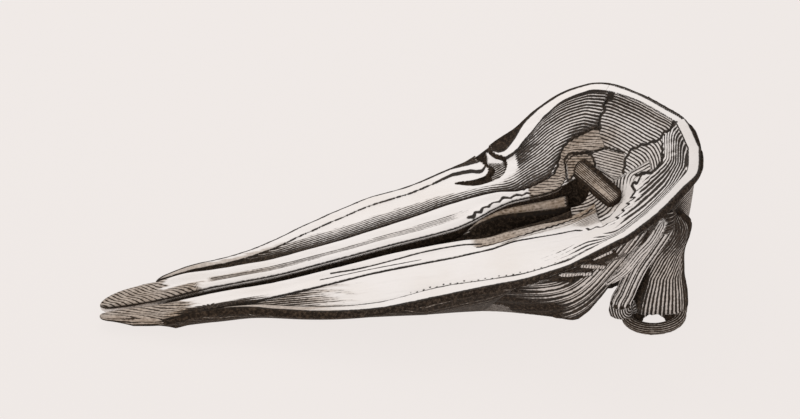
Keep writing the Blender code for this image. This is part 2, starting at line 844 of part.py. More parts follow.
def nasal_bone(name, group, foot=NASAL_BONE_FOOT, lift=0.0, grow=0.0):
    """A thick oblong bone with round ends, set slantwise behind the blowhole."""
    first = np.array(NASAL_BONE_ENDS[0])
    last = np.array(NASAL_BONE_ENDS[1])
    along = (last - first) / np.linalg.norm(last - first)
    across = np.array((-along[1], along[0]))
    half = NASAL_BONE_WIDTH / 2
    outline = []
    for centre, start in ((last - along * half, -90), (first + along * half, 90)):
        for k in range(6):
            turn = math.radians(start + 36 * k)
            spot = centre + (along * math.cos(turn) + across * math.sin(turn)) * (half + grow)
            outline.append(spot)
    shape = bmesh.new()
    corners = [shape.verts.new(place(*spot, foot)) for spot in outline]
    face = shape.faces.new(corners)
    risen = bmesh.ops.extrude_face_region(shape, geom=[face])["geom"]
    top = [item for item in risen if isinstance(item, bmesh.types.BMVert)]
    bmesh.ops.translate(shape, verts=top, vec=(0, 0, NASAL_BONE_TOP + lift - foot))
    if not lift:
        edges = [edge for edge in shape.edges if all(vertex in top for vertex in edge.verts)]
        bmesh.ops.bevel(shape, geom=edges, offset=NASAL_BONE_EDGE, segments=2, affect="EDGES",
                        profile=0.5)
    middle = place(*((first + last) / 2), 0.0)
    for vertex in shape.verts:
        if vertex.co.z > foot + NASAL_BONE_EDGE:
            vertex.co.z += NASAL_BONE_SLOPE[0] * (vertex.co.x - middle[0])
            vertex.co.z += NASAL_BONE_SLOPE[1] * (vertex.co.y - middle[1])
    bmesh.ops.recalc_face_normals(shape, faces=shape.faces)
    mesh = bpy.data.meshes.new(name)
    shape.to_mesh(mesh)
    shape.free()
    body = bpy.data.objects.new(name, mesh)
    group.objects.link(body)
    return body


def notch_cutter(group):
    rows = []
    for run, y, bore in NOTCH:
        edge = margin_width(run) - 0.05
        rows.append((run, y, top_height(run, min(y, edge)) - NOTCH_DEPTH, bore))
    return as_cutter(tube("notch", rows, 1.0, 2, group))


def naris_cutter(group):
    return as_cutter(tube("naris_passage", NARIS, 1.0, 4, group))


def braincase(group, cutters, neighbours):
    """The fused back of the skull: basin wall, crest, back of the head, columns and feet."""
    body = braincase_core("braincase", group)
    for side, word in ((1.0, "right"), (-1.0, "left")):
        limbs = (
            loft("column_" + word, column_rings(side), cutters),
            tube("strut_" + word, STRUT, side, 2, cutters),
            tube("thin_strut_" + word, THIN_STRUT, side, 1, cutters),
            foot_ring("ring_" + word, side, cutters),
            loft("flange_" + word, flange_rings(side), cutters),
            loft("ridge_" + word, ridge_rings(side), cutters),
            ellipsoid("condyle_" + word, (CONDYLE_RUN, side * CONDYLE_BREADTH, CONDYLE_HEIGHT),
                      CONDYLE_RADII, cutters),
        )
        for limb in limbs:
            boolean(body, as_cutter(limb), "UNION")
        boolean(body, as_cutter(tube("recess_" + word, RECESS, side, 1, cutters)), "DIFFERENCE")
        for i, run in enumerate(RECESS_BAR_RUNS):
            bar = recess_bar(f"recess_bar_{word}_{i + 1}", run, side, cutters)
            boolean(body, as_cutter(bar), "UNION")
        hole = ellipsoid("foot_hole_" + word, (FOOT_RUN, side * FOOT_BREADTH, FOOT_HOLE_HEIGHT),
                         FOOT_HOLE, cutters)
        boolean(body, as_cutter(hole), "DIFFERENCE")
    canal = ellipsoid("foramen_magnum", (FORAMEN_RUN, 0.0, FORAMEN_HEIGHT),
                      (FORAMEN_DEPTH, FORAMEN_RADIUS, FORAMEN_RADIUS), cutters)
    boolean(body, as_cutter(canal), "DIFFERENCE")
    boolean(body, naris_cutter(cutters), "DIFFERENCE")
    for room in neighbours:
        boolean(body, room, "DIFFERENCE")
    return settle(body)


def build():
    clear_scene()
    bones = collection("sperm_whale_skull")
    cutters = collection("cutters")

    right_pre = premaxilla("right_premaxilla", RIGHT_PREMAXILLA, bones)
    left_pre = premaxilla("left_premaxilla", LEFT_PREMAXILLA, bones)
    rooms = []
    for name, table in (("right", RIGHT_PREMAXILLA), ("left", LEFT_PREMAXILLA)):
        room = premaxilla(name + "_premaxilla_room", table, cutters, HEADROOM)
        rooms.append(as_cutter(swell(room, SEAM)))

    vomer = gutter("vomer", bones)
    for room in rooms:
        boolean(vomer, room, "DIFFERENCE")
    settle(vomer)
    rooms.append(as_cutter(swell(gutter("vomer_room", cutters, HEADROOM), SEAM)))

    plates = []
    plate_rooms = []
    for name, table in (("right_maxilla", RIGHT_MAXILLA), ("left_maxilla", LEFT_MAXILLA)):
        plate = maxilla(name, table, bones)
        for room in rooms:
            boolean(plate, room, "DIFFERENCE")
        if name == "right_maxilla":
            boolean(plate, notch_cutter(cutters), "DIFFERENCE")
        plates.append(settle(plate))
        plate_rooms.append(as_cutter(swell(maxilla(name + "_room", table, cutters, HEADROOM), SEAM)))

    nasal = nasal_bone("nasal_bone", bones)
    nasal_room = nasal_bone("nasal_bone_room", cutters, NASAL_BONE_FOOT - SEAM, HEADROOM, SEAM)
    neighbours = [as_cutter(nasal_room)] + rooms + plate_rooms
    case = braincase(bones, cutters, neighbours)

    paint((right_pre, left_pre, *plates), finish("pale_bone", BONE, 0.62))
    paint((nasal, case), finish("warm_bone", OLD_BONE, 0.68))
    paint((vomer,), finish("dark_bone", DARK_BONE, 0.72))


def paint(bodies, material):
    for body in bodies:
        body.data.materials.append(material)
        body.data.shade_smooth()
        body.data.set_sharp_from_angle(angle=SHARP_ANGLE)


build()
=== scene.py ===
"""Looks of the sperm whale skull: every bone rebuilt as a fine, incised surface, with painted shade in its
lines and ground and dark seams.

Run is the distance back from the snout tip, y runs to the animal's right and z up, in metres.
"""
import math

import bmesh
import bpy
import numpy as np
from bpy.props import FloatProperty, FloatVectorProperty, PointerProperty
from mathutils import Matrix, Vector


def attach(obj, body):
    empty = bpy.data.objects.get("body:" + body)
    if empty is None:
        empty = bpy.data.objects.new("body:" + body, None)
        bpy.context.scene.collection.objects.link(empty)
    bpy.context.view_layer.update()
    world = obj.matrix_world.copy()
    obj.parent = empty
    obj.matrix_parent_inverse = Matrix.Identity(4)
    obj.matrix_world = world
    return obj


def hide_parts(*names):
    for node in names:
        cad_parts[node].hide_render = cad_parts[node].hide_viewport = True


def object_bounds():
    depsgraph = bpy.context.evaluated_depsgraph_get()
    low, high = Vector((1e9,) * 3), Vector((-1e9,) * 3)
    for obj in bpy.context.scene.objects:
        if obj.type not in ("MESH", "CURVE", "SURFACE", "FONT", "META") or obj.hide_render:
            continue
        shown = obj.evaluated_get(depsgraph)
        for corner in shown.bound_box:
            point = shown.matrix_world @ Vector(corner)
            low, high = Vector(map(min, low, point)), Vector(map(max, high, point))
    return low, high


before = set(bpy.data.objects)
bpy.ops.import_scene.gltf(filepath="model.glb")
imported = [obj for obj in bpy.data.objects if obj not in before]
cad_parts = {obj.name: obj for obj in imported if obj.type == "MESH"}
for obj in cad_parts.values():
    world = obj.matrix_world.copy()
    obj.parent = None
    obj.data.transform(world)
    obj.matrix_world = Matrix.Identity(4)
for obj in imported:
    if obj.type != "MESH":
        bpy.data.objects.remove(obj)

bl_info = {
    "name": "Sperm whale skull",
    "version": (1, 0, 0),
    "blender": (4, 5, 0),
    "location": "3D View > Sidebar > Skull",
    "description": "Builds the bones of a sperm whale's skull in detail over its plain solids",
    "category": "Add Mesh",
}

CAD_LOW, CAD_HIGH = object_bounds()
SKULL_LENGTH = 5.0
HALF_LENGTH = SKULL_LENGTH / 2

# the photograph's upward direction over y and z, and its pixels upward per metre of run, y and z
LIFT = (0.612, 0.790)
PICTURE_RISE = (10.45, 74.4, 96.1)
PICTURE_SCALE = 121.5

# distance between two lines of the grain
LINE_SPACING = 0.0235

# points across the top of each long bone, and across the margin's band on the two upper jaw bones
MAXILLA_TOP_POINTS = 76
RIGHT_BAND_POINTS = 24
LEFT_BAND_POINTS = 22
PREMAXILLA_TOP_POINTS = 44

# painted shade of undersides and steps of their lines, darkest painted shade of the rounded edges and the
# recess, a distance at which no line shows, and the gap that the fine bones keep from the box of the plain
# solids
UNDERSIDE_SHADE_TONE = 0.88
UNDERSIDE_LINE_STEP = 0.45
PREMAXILLA_LINE_STEP = 0.4
EDGE_SHADE_TONE = 1.1
RECESS_SHADE_TONE = 1.15
NO_LINE = 9.0
BOX_GAP = 0.0004

# margin of the skull from above: run, half width, height
MARGIN = (
    (0.5, 0.3, 0.155), (0.8, 0.33, 0.24), (1.15, 0.375, 0.27), (1.45, 0.475, 0.29), (1.75, 0.595, 0.335),
    (2.05, 0.69, 0.39), (2.35, 0.755, 0.455), (2.65, 0.775, 0.515), (2.95, 0.82, 0.6), (3.2, 0.87, 0.68),
    (3.4, 0.945, 0.77), (3.6, 1.0, 0.87), (3.8, 1.07, 1.0), (4.0, 1.09, 1.12), (4.2, 1.07, 1.2),
    (4.4, 0.97, 1.26), (4.6, 0.79, 1.28), (4.8, 0.55, 1.29), (4.93, 0.36, 1.29), (5.0, 0.0, 1.25),
)

# bones along the middle line: run, height
MIDLINE = (
    (0.0, 0.08), (0.5, 0.135), (1.0, 0.22), (1.5, 0.28), (2.0, 0.375), (2.5, 0.48), (3.0, 0.555),
    (3.4, 0.6), (3.85, 0.62), (4.1, 0.66), (4.3, 0.74), (4.5, 0.86), (4.7, 1.02), (4.85, 1.16),
    (4.93, 1.23), (5.0, 1.25),
)

# flat of the palate: run, half width, height
KEEL = (
    (0.5, 0.2, 0.07), (0.65, 0.18, 0.0), (0.95, 0.165, 0.0), (1.2, 0.17, 0.012), (1.75, 0.27, 0.02),
    (2.5, 0.325, 0.02), (3.0, 0.37, 0.022), (3.3, 0.42, 0.03), (3.66, 0.51, 0.06),
)

# right premaxilla: outer run, outer y, inner run, inner y
RIGHT_PREMAXILLA = (
    (0.02, 0.095, 0.02, 0.035), (0.12, 0.145, 0.12, 0.022), (0.3, 0.2, 0.3, 0.018),
    (0.5, 0.24, 0.5, 0.02), (0.95, 0.22, 0.95, 0.026), (1.3, 0.235, 1.3, 0.032), (1.75, 0.27, 1.75, 0.05),
    (2.2, 0.3, 2.2, 0.062), (2.6, 0.345, 2.6, 0.07), (2.95, 0.395, 2.95, 0.095),
    (3.15, 0.405, 3.12, 0.14), (3.35, 0.395, 3.32, 0.22), (3.55, 0.355, 3.5, 0.262),
    (3.72, 0.385, 3.7, 0.268), (3.84, 0.425, 3.85, 0.285), (3.9, 0.53, 3.93, 0.36),
    (3.95, 0.615, 3.95, 0.47), (4.06, 0.655, 4.03, 0.52), (4.24, 0.665, 4.27, 0.48),
)

LEFT_PREMAXILLA = (
    (0.0, -0.105, 0.0, -0.036), (0.12, -0.15, 0.12, -0.024), (0.3, -0.21, 0.3, -0.02),
    (0.5, -0.27, 0.5, -0.03), (0.82, -0.305, 0.82, -0.05), (1.2, -0.28, 1.2, -0.05),
    (1.65, -0.242, 1.65, -0.045), (2.1, -0.242, 2.1, -0.04), (2.6, -0.27, 2.6, -0.048),
    (3.0, -0.3, 3.0, -0.07), (3.2, -0.305, 3.2, -0.105), (3.42, -0.265, 3.42, -0.07),
    (3.65, -0.272, 3.65, -0.02), (3.9, -0.295, 3.92, 0.035), (4.0, -0.42, 4.05, 0.065),
    (4.12, -0.425, 4.13, 0.095),
)

# where the upper jaw bones meet their neighbours, one place for each row of their rim: run, y
RIGHT_SUTURE = (
    (0.5, 0.24), (0.8, 0.225), (1.15, 0.228), (1.45, 0.245), (1.75, 0.27), (2.05, 0.29), (2.35, 0.315),
    (2.65, 0.35), (2.95, 0.395), (3.2, 0.405), (3.38, 0.39), (3.55, 0.355), (3.76, 0.395), (3.9, 0.53),
    (4.04, 0.65), (4.24, 0.665),
)

LEFT_SUTURE = (
    (0.5, -0.26), (0.8, -0.3), (1.15, -0.284), (1.45, -0.255), (1.75, -0.24), (2.05, -0.242),
    (2.35, -0.255), (2.65, -0.273), (2.95, -0.295), (3.2, -0.305), (3.4, -0.267), (3.6, -0.27),
    (3.8, -0.285), (3.93, -0.33), (4.1, -0.425), (4.22, -0.39), (4.34, -0.17), (4.42, -0.05),
    (4.48, 0.12), (4.58, 0.105), (4.66, 0.095), (4.7, 0.16), (4.72, 0.3),
)
LEFT_RIM_END = ((4.985, -0.18), (5.0, 0.0), (4.985, 0.18), (4.93, 0.36))

# each upper jaw bone: run and y of its rim, run and y of its suture
RIGHT_RIM = tuple(row[:2] for row in MARGIN)
LEFT_RIM = tuple((run, -width) for run, width in RIGHT_RIM[:-1]) + LEFT_RIM_END
RIGHT_MAXILLA = tuple(rim + suture for rim, suture in zip(RIGHT_RIM, RIGHT_SUTURE))
LEFT_MAXILLA = tuple(rim + suture for rim, suture in zip(LEFT_RIM, LEFT_SUTURE))

# gutter between the premaxillae: run, left side, left lip, right lip, right side, its depth
GUTTER = (
    (0.9, -0.09, -0.03, 0.026, 0.086, 0.025), (1.3, -0.095, -0.035, 0.032, 0.095, 0.03),
    (2.0, -0.1, -0.04, 0.045, 0.105, 0.035), (2.9, -0.11, -0.055, 0.08, 0.13, 0.04),
    (3.15, -0.15, -0.065, 0.13, 0.19, 0.11), (3.4, -0.12, -0.005, 0.195, 0.27, 0.22),
    (3.7, -0.06, 0.055, 0.19, 0.3, 0.26), (3.93, -0.01, 0.11, 0.18, 0.31, 0.26),
)

# channel of the notch in front of the eye: run, half breadth from the middle, bore
NOTCH = (
    (3.33, 1.02, 0.06), (3.31, 0.88, 0.058), (3.36, 0.76, 0.052), (3.43, 0.67, 0.052),
    (3.38, 0.58, 0.048), (3.24, 0.56, 0.036), (3.06, 0.62, 0.014),
)

# outline of the painted shade in the hollow at the notch, from above
HOOK = ((3.250, 0.850), (3.260, 1.000), (3.375, 1.000), (3.385, 0.868), (3.348, 0.851), (3.340, 0.789),
        (3.390, 0.733), (3.450, 0.695), (3.433, 0.630), (3.394, 0.588), (3.339, 0.552), (3.315, 0.613),
        (3.332, 0.675), (3.300, 0.741), (3.259, 0.805))

# lines that the step inside the far margin takes up
STEP_LINES = 2.4

# roughness of each kind of bone between its dark lines of painted shade and seams
ROUGHNESS = {"pale_bone": 0.62, "dark_bone": 0.72, "warm_bone": 0.66}

# spacing of the lines on the snout's tip, and of the pits beside the left margin
TIP_LINE_SPACING = 0.031
PIT_SPACING = 0.055

# breadth of the tan ribbon along the groove: run, breadth
RIBBON_WIDTH = (
    (3.0, 0.02), (3.12, 0.13), (3.29, 0.14), (3.47, 0.115), (3.64, 0.105), (3.81, 0.1), (3.99, 0.07),
    (4.13, 0.05),
)

# width of the raised band along the left margin: run, inner edge
LEFT_BAND = (
    (0.5, 0.018), (1.0, 0.05), (1.45, 0.095), (2.2, 0.11), (2.75, 0.16), (3.2, 0.12), (3.6, 0.11),
    (5.0, 0.11),
)

# the band on the right: run, inner edge of the ledge outside it, its own inner edge
RIGHT_BAND = (
    (0.5, 0.012, 0.02), (0.62, 0.012, 0.052), (0.87, 0.013, 0.074), (1.3, 0.015, 0.09),
    (1.7, 0.017, 0.104), (2.2, 0.022, 0.11), (2.75, 0.03, 0.1), (3.02, 0.036, 0.092), (3.1, 0.053, 0.112),
    (3.18, 0.08, 0.144), (3.28, 0.11, 0.205), (3.34, 0.07, 0.16), (3.39, 0.1, 0.195),
    (3.44, 0.155, 0.241), (3.49, 0.18, 0.257), (3.54, 0.16, 0.262), (3.58, 0.128, 0.255),
    (3.62, 0.091, 0.228), (3.67, 0.05, 0.197), (3.72, 0.044, 0.18), (3.79, 0.044, 0.163),
    (3.87, 0.044, 0.154), (3.96, 0.044, 0.136), (4.28, 0.044, 0.133), (4.62, 0.044, 0.105),
    (5.0, 0.044, 0.11),
)

# how far in the dark, mottled part of the basin's far wall reaches: run, distance from the margin
FAR_SHADE = (
    (3.5, 0.39), (3.58, 0.39), (3.71, 0.34), (3.88, 0.3), (4.07, 0.26), (4.27, 0.23), (4.62, 0.16),
    (5.0, 0.15),
)

# width of the slope above the suture of the right upper jaw bone, lined with painted shade
SLOPE_WIDTH = (
    (0.5, 0.1), (1.0, 0.08), (1.7, 0.17), (2.6, 0.17), (2.99, 0.115), (3.15, 0.09), (3.31, 0.08),
    (3.4, 0.1), (3.5, 0.165), (3.58, 0.23),
)

# column over the foot: height, run, half breadth, half length, half depth
COLUMN = (
    (0.014, 4.565, 0.59, 0.235, 0.115), (0.12, 4.57, 0.59, 0.238, 0.125),
    (0.26, 4.58, 0.58, 0.222, 0.125), (0.45, 4.595, 0.57, 0.18, 0.12), (0.65, 4.6, 0.57, 0.172, 0.13),
    (0.86, 4.625, 0.6, 0.185, 0.15), (0.98, 4.64, 0.62, 0.18, 0.13), (1.1, 4.62, 0.63, 0.11, 0.07),
)

# bars in front of the column: run, half breadth, height, thickness
STRUT = (
    (4.64, 0.7, 1.18, 0.045), (4.573, 0.765, 1.06, 0.07), (4.48, 0.75, 0.884, 0.076),
    (4.372, 0.7, 0.639, 0.076), (4.278, 0.66, 0.347, 0.078), (4.24, 0.64, 0.21, 0.088),
    (4.24, 0.635, 0.11, 0.104),
)
THIN_STRUT = (
    (4.54, 0.79, 1.12, 0.03), (4.45, 0.84, 0.99, 0.036), (4.36, 0.82, 0.86, 0.036),
    (4.25, 0.76, 0.64, 0.034), (4.15, 0.68, 0.48, 0.03),
)

# fan-shaped flange below the margin: run, top breadth, top height, foot breadth, foot height
FLANGE = (
    (3.02, 0.7, 0.43, 0.375, 0.024), (3.3, 0.76, 0.52, 0.435, 0.03), (3.5, 0.8, 0.61, 0.495, 0.03),
    (3.7, 0.82, 0.68, 0.56, 0.028), (3.86, 0.815, 0.72, 0.62, 0.026), (3.96, 0.815, 0.75, 0.62, 0.09),
    (4.07, 0.815, 0.79, 0.6, 0.2), (4.17, 0.815, 0.83, 0.6, 0.345), (4.3, 0.81, 0.88, 0.64, 0.52),
)
FLANGE_THICKNESS = 0.22

# the recess between margin and flange: run, half breadth, height, bore
RECESS = (
    (3.6, 0.85, 0.69, 0.012), (3.75, 0.89, 0.76, 0.045), (3.92, 0.9, 0.85, 0.056),
    (4.08, 0.88, 0.91, 0.038), (4.18, 0.86, 0.95, 0.012),
)
RECESS_BAR_RUNS = (3.78, 3.88, 3.98)
RECESS_BAR_SLANT = 0.13
RECESS_BAR_THICKNESS = 0.015

# ridges on the floor of the skull: run, breadth from the middle, low edge
PTERYGOID_RIDGE = (
    (3.4, 0.29, 0.07), (3.65, 0.3, 0.045), (3.9, 0.29, 0.08), (4.05, 0.28, 0.2), (4.3, 0.3, 0.25),
    (4.6, 0.33, 0.2), (4.7, 0.3, 0.23),
)
RIDGE_TOP = 0.42

FOOT_RUN = 4.52
FOOT_BREADTH = 0.62
RING_ALONG = 0.215
RING_ACROSS = 0.185
RING_BAR = 0.056
RING_HEIGHT = 0.036
FOOT_HOLE = (0.105, 0.125, 0.105)
FOOT_HOLE_HEIGHT = 0.03

NASAL_BONE_ENDS = ((4.028, 0.425), (4.318, 0.000))
NASAL_BONE_WIDTH = 0.140
NASAL_BONE_TOP = 0.836
NASAL_BONE_SLOPE = (0.412, 0.493)
NASAL_BONE_FOOT = 0.600
NASAL_BONE_EDGE = 0.025
NASAL_BONE_ROWS = 24

# the blowhole passage, from its mouth down: run, y, height, bore
NARIS = (
    (4.01, 0.23, 0.9, 0.115), (3.985, 0.215, 0.7, 0.11), (3.9, 0.17, 0.5, 0.09), (3.82, 0.13, 0.34, 0.06),
)

CONDYLE_RUN = 4.755
CONDYLE_BREADTH = 0.150
CONDYLE_HEIGHT = 0.470
CONDYLE_RADII = (0.100, 0.120, 0.175)
FORAMEN_RUN = 4.90
FORAMEN_HEIGHT = 0.640
FORAMEN_RADII = (0.30, 0.090, 0.090)

# outer wall of the braincase: share of its drop, then how far in it has come across and behind
OUTER_WALL = ((0.0, 1.0, 1.0), (0.16, 0.97, 0.985), (0.45, 0.76, 0.95), (0.75, 0.6, 0.835),
              (1.0, 0.48, 0.77))
WALL_FOOT = 0.25
BASIN_CENTRE = (3.95, 0.0)
BRAINCASE_FRONT = 3.32
UNDER_PLATE = 0.035

RIM_STEP = 0.022
RIM_EDGE = 0.035
RIM_ROUND = 0.033
SUTURE_OVERLAP = 0.03
PLATE_THICKNESS = 0.10
PREMAXILLA_DEPTH = 0.14
PREMAXILLA_LIP = 0.014
UNDERCUT = 0.774
TIP_KEEL = 0.12
TIP_UNDERCUT = 0.60
BASIN_START = 3.10
BASIN_FULL = 3.45


def smooth_curve(knots, values, at):
    """Values at the places `at`, on a curve through the knots that never overshoots them."""
    knots = np.asarray(knots, float)
    values = np.asarray(values, float)
    spans = np.diff(knots)
    slopes = np.diff(values) / spans
    tangents = np.zeros(len(knots))
    tangents[0] = slopes[0]
    tangents[-1] = slopes[-1]
    for i in range(1, len(knots) - 1):
        if slopes[i - 1] * slopes[i] > 0:
            before = 2 * spans[i] + spans[i - 1]
            after = spans[i] + 2 * spans[i - 1]
            tangents[i] = (before + after) / (before / slopes[i - 1] + after / slopes[i])
    at = np.clip(np.asarray(at, float), knots[0], knots[-1])
    piece = np.clip(np.searchsorted(knots, at) - 1, 0, len(spans) - 1)
    span = spans[piece]
    s = (at - knots[piece]) / span
    rise = (1 + 2 * s) * (1 - s) ** 2 * values[piece]
    rise += s * (1 - s) ** 2 * span * tangents[piece]
    rise += s * s * (3 - 2 * s) * values[piece + 1]
    rise += s * s * (s - 1) * span * tangents[piece + 1]
    return rise


def read(table, column, at):
    rows = np.asarray(table, float)
    return smooth_curve(rows[:, 0], rows[:, column], at)


def columns(*parts):
    """Arrays of one shape put side by side, such as run and y, or run, y and z."""
    return np.stack(parts, axis=-1)


def lengths_along(line):
    """How far along a polyline each of its points lies."""
    return np.concatenate(([0.0], np.cumsum(np.linalg.norm(np.diff(line, axis=0), axis=1))))


def smooth_rows(table, step, columns_for_length=(0, 1)):
    """The rows of a table drawn out into evenly spaced rows along its first columns."""
    rows = np.asarray(table, float)
    along = lengths_along(rows[:, list(columns_for_length)])
    at = np.linspace(0.0, along[-1], max(int(round(along[-1] / step)), 4) + 1)
    return np.stack([smooth_curve(along, rows[:, i], at) for i in range(rows.shape[1])], axis=1)


def ease(low, high, value):
    share = np.clip((value - low) / (high - low), 0.0, 1.0)
    return share * share * (3 - 2 * share)


def mix(a, b, share):
    return a + (b - a) * share


def wander(*coordinates):
    """Smooth, fixed irregularity between -1 and 1 over one or more coordinates."""
    total = 0.0
    for i, (turns, strength) in enumerate(((1.0, 0.5), (2.13, 0.3), (4.41, 0.2))):
        phase = 1.7 * i
        for k, value in enumerate(coordinates):
            phase = phase + value * turns * (1 + 0.37 * k)
        bend = sum(np.sin(value * turns * 0.61 + 2.1 * k + i) for k, value in enumerate(coordinates))
        total = total + strength * np.sin(phase + bend)
    return total


def ragged(run, y):
    """The irregular course of the edge of a patch of painted shade or tan, over run and y, between -1 and
    1.
    """
    return wander(run * 21.0, y * 47.0)


def place(points):
    """Run, y and z to the frame of the model."""
    moved = np.array(points, float)
    moved[..., 0] -= HALF_LENGTH
    return moved


def lifted(y, z):
    """How far up the photograph a place is, seen along the skull."""
    return LIFT[0] * y + LIFT[1] * z


def bowl_height(run, y):
    """Upper surface without its margin: a low trough on the rostrum, a bowl in the basin."""
    inner = np.maximum(read(MARGIN, 1, run) - 0.11, 0.02)
    share = np.minimum(np.abs(y) / inner, 1.0)
    hollow = mix(1.0, 1.15, ease(3.0, 3.8, run))
    low = read(MIDLINE, 1, run)
    return low + (read(MARGIN, 2, run) - low) * share ** hollow


def picture_level(run, y):
    """How far up the photograph a place of the upper surface is, in metres."""
    along, aside, up = PICTURE_RISE
    return (along * run + aside * y + up * bowl_height(run, y)) / PICTURE_SCALE


def premaxilla_foot(run, y):
    """Underside of a premaxilla: undercut at the tip, then bedded in the maxilla."""
    depth = mix(0.055, PREMAXILLA_DEPTH, ease(0.0, 0.45, run))
    depth = mix(depth, PLATE_THICKNESS, ease(BASIN_START, BASIN_FULL, run))
    undercut = (np.abs(y) - TIP_KEEL) * TIP_UNDERCUT * (1 - ease(0.45, 0.75, run))
    return np.maximum(np.maximum(bowl_height(run, y) - depth, undercut), 0.004)


def nearest(points, line):
    """For each point its distance to a polyline, and how far along the line the nearest place is."""
    points = np.asarray(points, float)
    line = np.asarray(line, float)
    shape = points.shape[:-1]
    points = points.reshape(-1, line.shape[1])
    starts = line[:-1]
    legs = np.diff(line, axis=0)
    squares = np.maximum((legs ** 2).sum(1), 1e-12)
    lengths = np.sqrt(squares)
    before = np.concatenate(([0.0], np.cumsum(lengths)))[:-1]
    best = np.full(len(points), np.inf)
    along = np.zeros(len(points))
    for start, leg, square, length, at in zip(starts, legs, squares, lengths, before):
        share = np.clip(((points - start) @ leg) / square, 0.0, 1.0)
        gap = ((points - start - share[:, None] * leg) ** 2).sum(1)
        closer = gap < best
        best[closer] = gap[closer]
        along[closer] = at + share[closer] * length
    return np.sqrt(best).reshape(shape), along.reshape(shape)


def beside_line(run, y, line):
    """Distance from a line in plan, and the line's third value at the nearest place."""
    gap, along = nearest(columns(run, y), line[:, :2])
    return gap, np.interp(along, lengths_along(line[:, :2]), line[:, 2])


# the margin on either side, from the rostrum's end to the back of the head: run, y, height
MARGIN_LINES = {side: smooth_rows(MARGIN, 0.03) * (1.0, side, 1.0) for side in (1.0, -1.0)}


def rim_distance(run, y):
    """Distance in from the margin and the margin's height there."""
    best = np.full(run.shape, np.inf)
    height = np.zeros(run.shape)
    for line in MARGIN_LINES.values():
        gap, line_height = beside_line(run, y, line)
        closer = gap < best
        best[closer] = gap[closer]
        height[closer] = line_height[closer]
    return best, height


def band_width(run, y):
    return np.where(y > 0, read(RIGHT_BAND, 2, run), read(LEFT_BAND, 1, run))


def ledge_width(run, y):
    return np.where(y > 0, read(RIGHT_BAND, 1, run), RIM_ROUND)


def edge_depth(run, y):
    """How far the margin's rounded edge drops; it is thin over the recess on the left."""
    thin = ease(3.45, 3.62, run) * ease(4.55, 4.35, run)
    return np.where(y > 0, RIM_EDGE, mix(RIM_EDGE, 0.012, thin))


def step_share(gap, band):
    """0 on the raised band of the margin and 1 inside it."""
    return ease(band - 0.004, band + 0.024, gap)


def off_band(gap, band):
    """0 on the raised band, which is left bare of painted shade, and 1 beside it."""
    return ease(-0.002, 0.008, gap - band)


def on_edge(gap, width):
    """1 on the margin's rounded edge, which gets painted shade, and 0 further in."""
    return ease(width, width - 0.008, gap)


def top_surface(run, y, gap, rim_height):
    """The finished upper surface: rounded edge, raised flat band, step, then the plate."""
    band = band_width(run, y)
    ledge = ledge_width(run, y)
    turn = np.clip(1 - gap / RIM_ROUND, 0.0, 1.0)
    flat = rim_height - edge_depth(run, y) * (1 - np.sqrt(1 - turn ** 2 * 0.999))
    flat -= 0.014 * np.sin(np.pi * np.clip(gap / ledge, 0.0, 1.0)) * ease(0.04, 0.09, ledge)
    crown = 0.004 * np.sin(np.pi * np.clip(gap / band, 0.0, 1.0))
    fade = np.clip((gap - band) / 0.30, 0.0, 1.0)
    plate = bowl_height(run, y) - RIM_STEP * (1 - fade) ** 1.5
    return mix(flat + crown, plate, step_share(gap, band))


def linked(name, mesh):
    """A new object for a mesh, in the scene."""
    body = bpy.data.objects.new(name, mesh)
    bpy.context.scene.collection.objects.link(body)
    return body


def mesh_from(name, vertices, faces):
    """A mesh object from arrays; faces is a list of arrays with the same corners each."""
    mesh = bpy.data.meshes.new(name)
    corners = np.concatenate([part.ravel() for part in faces])
    sizes = np.concatenate([np.full(len(part), part.shape[1]) for part in faces])
    starts = np.concatenate(([0], np.cumsum(sizes)[:-1]))
    mesh.vertices.add(len(vertices))
    mesh.vertices.foreach_set("co", np.asarray(vertices, np.float32).ravel())
    mesh.loops.add(len(corners))
    mesh.loops.foreach_set("vertex_index", corners.astype(np.int32))
    mesh.polygons.add(len(sizes))
    mesh.polygons.foreach_set("loop_start", starts.astype(np.int32))
    mesh.polygons.foreach_set("loop_total", sizes.astype(np.int32))
    mesh.update(calc_edges=True)
    mesh.validate()
    return linked(name, mesh)


def loft_faces(rows, count):
    """Quads between the rings of a loft, and fans to a last vertex at either end."""
    i = np.arange(rows - 1)[:, None]
    j = np.arange(count)[None, :]
    near = i * count + j
    after = i * count + (j + 1) % count
    quads = np.stack((near, after, after + count, near + count), axis=-1).reshape(-1, 4)
    ring = np.arange(count)
    first = rows * count
    start = np.stack((np.full(count, first), (ring + 1) % count, ring), axis=-1)
    last = (rows - 1) * count
    end = np.stack((np.full(count, first + 1), last + ring, last + (ring + 1) % count), axis=-1)
    return [quads, np.concatenate((start, end))]


def loft(name, rings):
    """A closed body through an array of rings: rings by points by three."""
    rows, count = rings.shape[:2]
    ends = np.stack((rings[0].mean(0), rings[-1].mean(0)))
    vertices = np.concatenate((rings.reshape(-1, 3), ends))
    body = mesh_from(name, place(vertices), loft_faces(rows, count))
    face_out(body)
    return body


def face_out(body):
    shape = bmesh.new()
    shape.from_mesh(body.data)
    bmesh.ops.recalc_face_normals(shape, faces=shape.faces)
    if shape.calc_volume(signed=True) < 0:
        bmesh.ops.reverse_faces(shape, faces=shape.faces)
    shape.to_mesh(body.data)
    shape.free()


def rounded(points, times=3):
    """Corners cut again and again along the second axis; the end points stay."""
    for _ in range(times):
        ahead = points[:, :-1] * 0.75 + points[:, 1:] * 0.25
        behind = points[:, :-1] * 0.25 + points[:, 1:] * 0.75
        both = np.stack((ahead, behind), axis=2)
        inner = both.reshape(points.shape[0], -1, points.shape[2])
        points = np.concatenate((points[:, :1], inner[:, 1:-1], points[:, -1:]), axis=1)
    return points


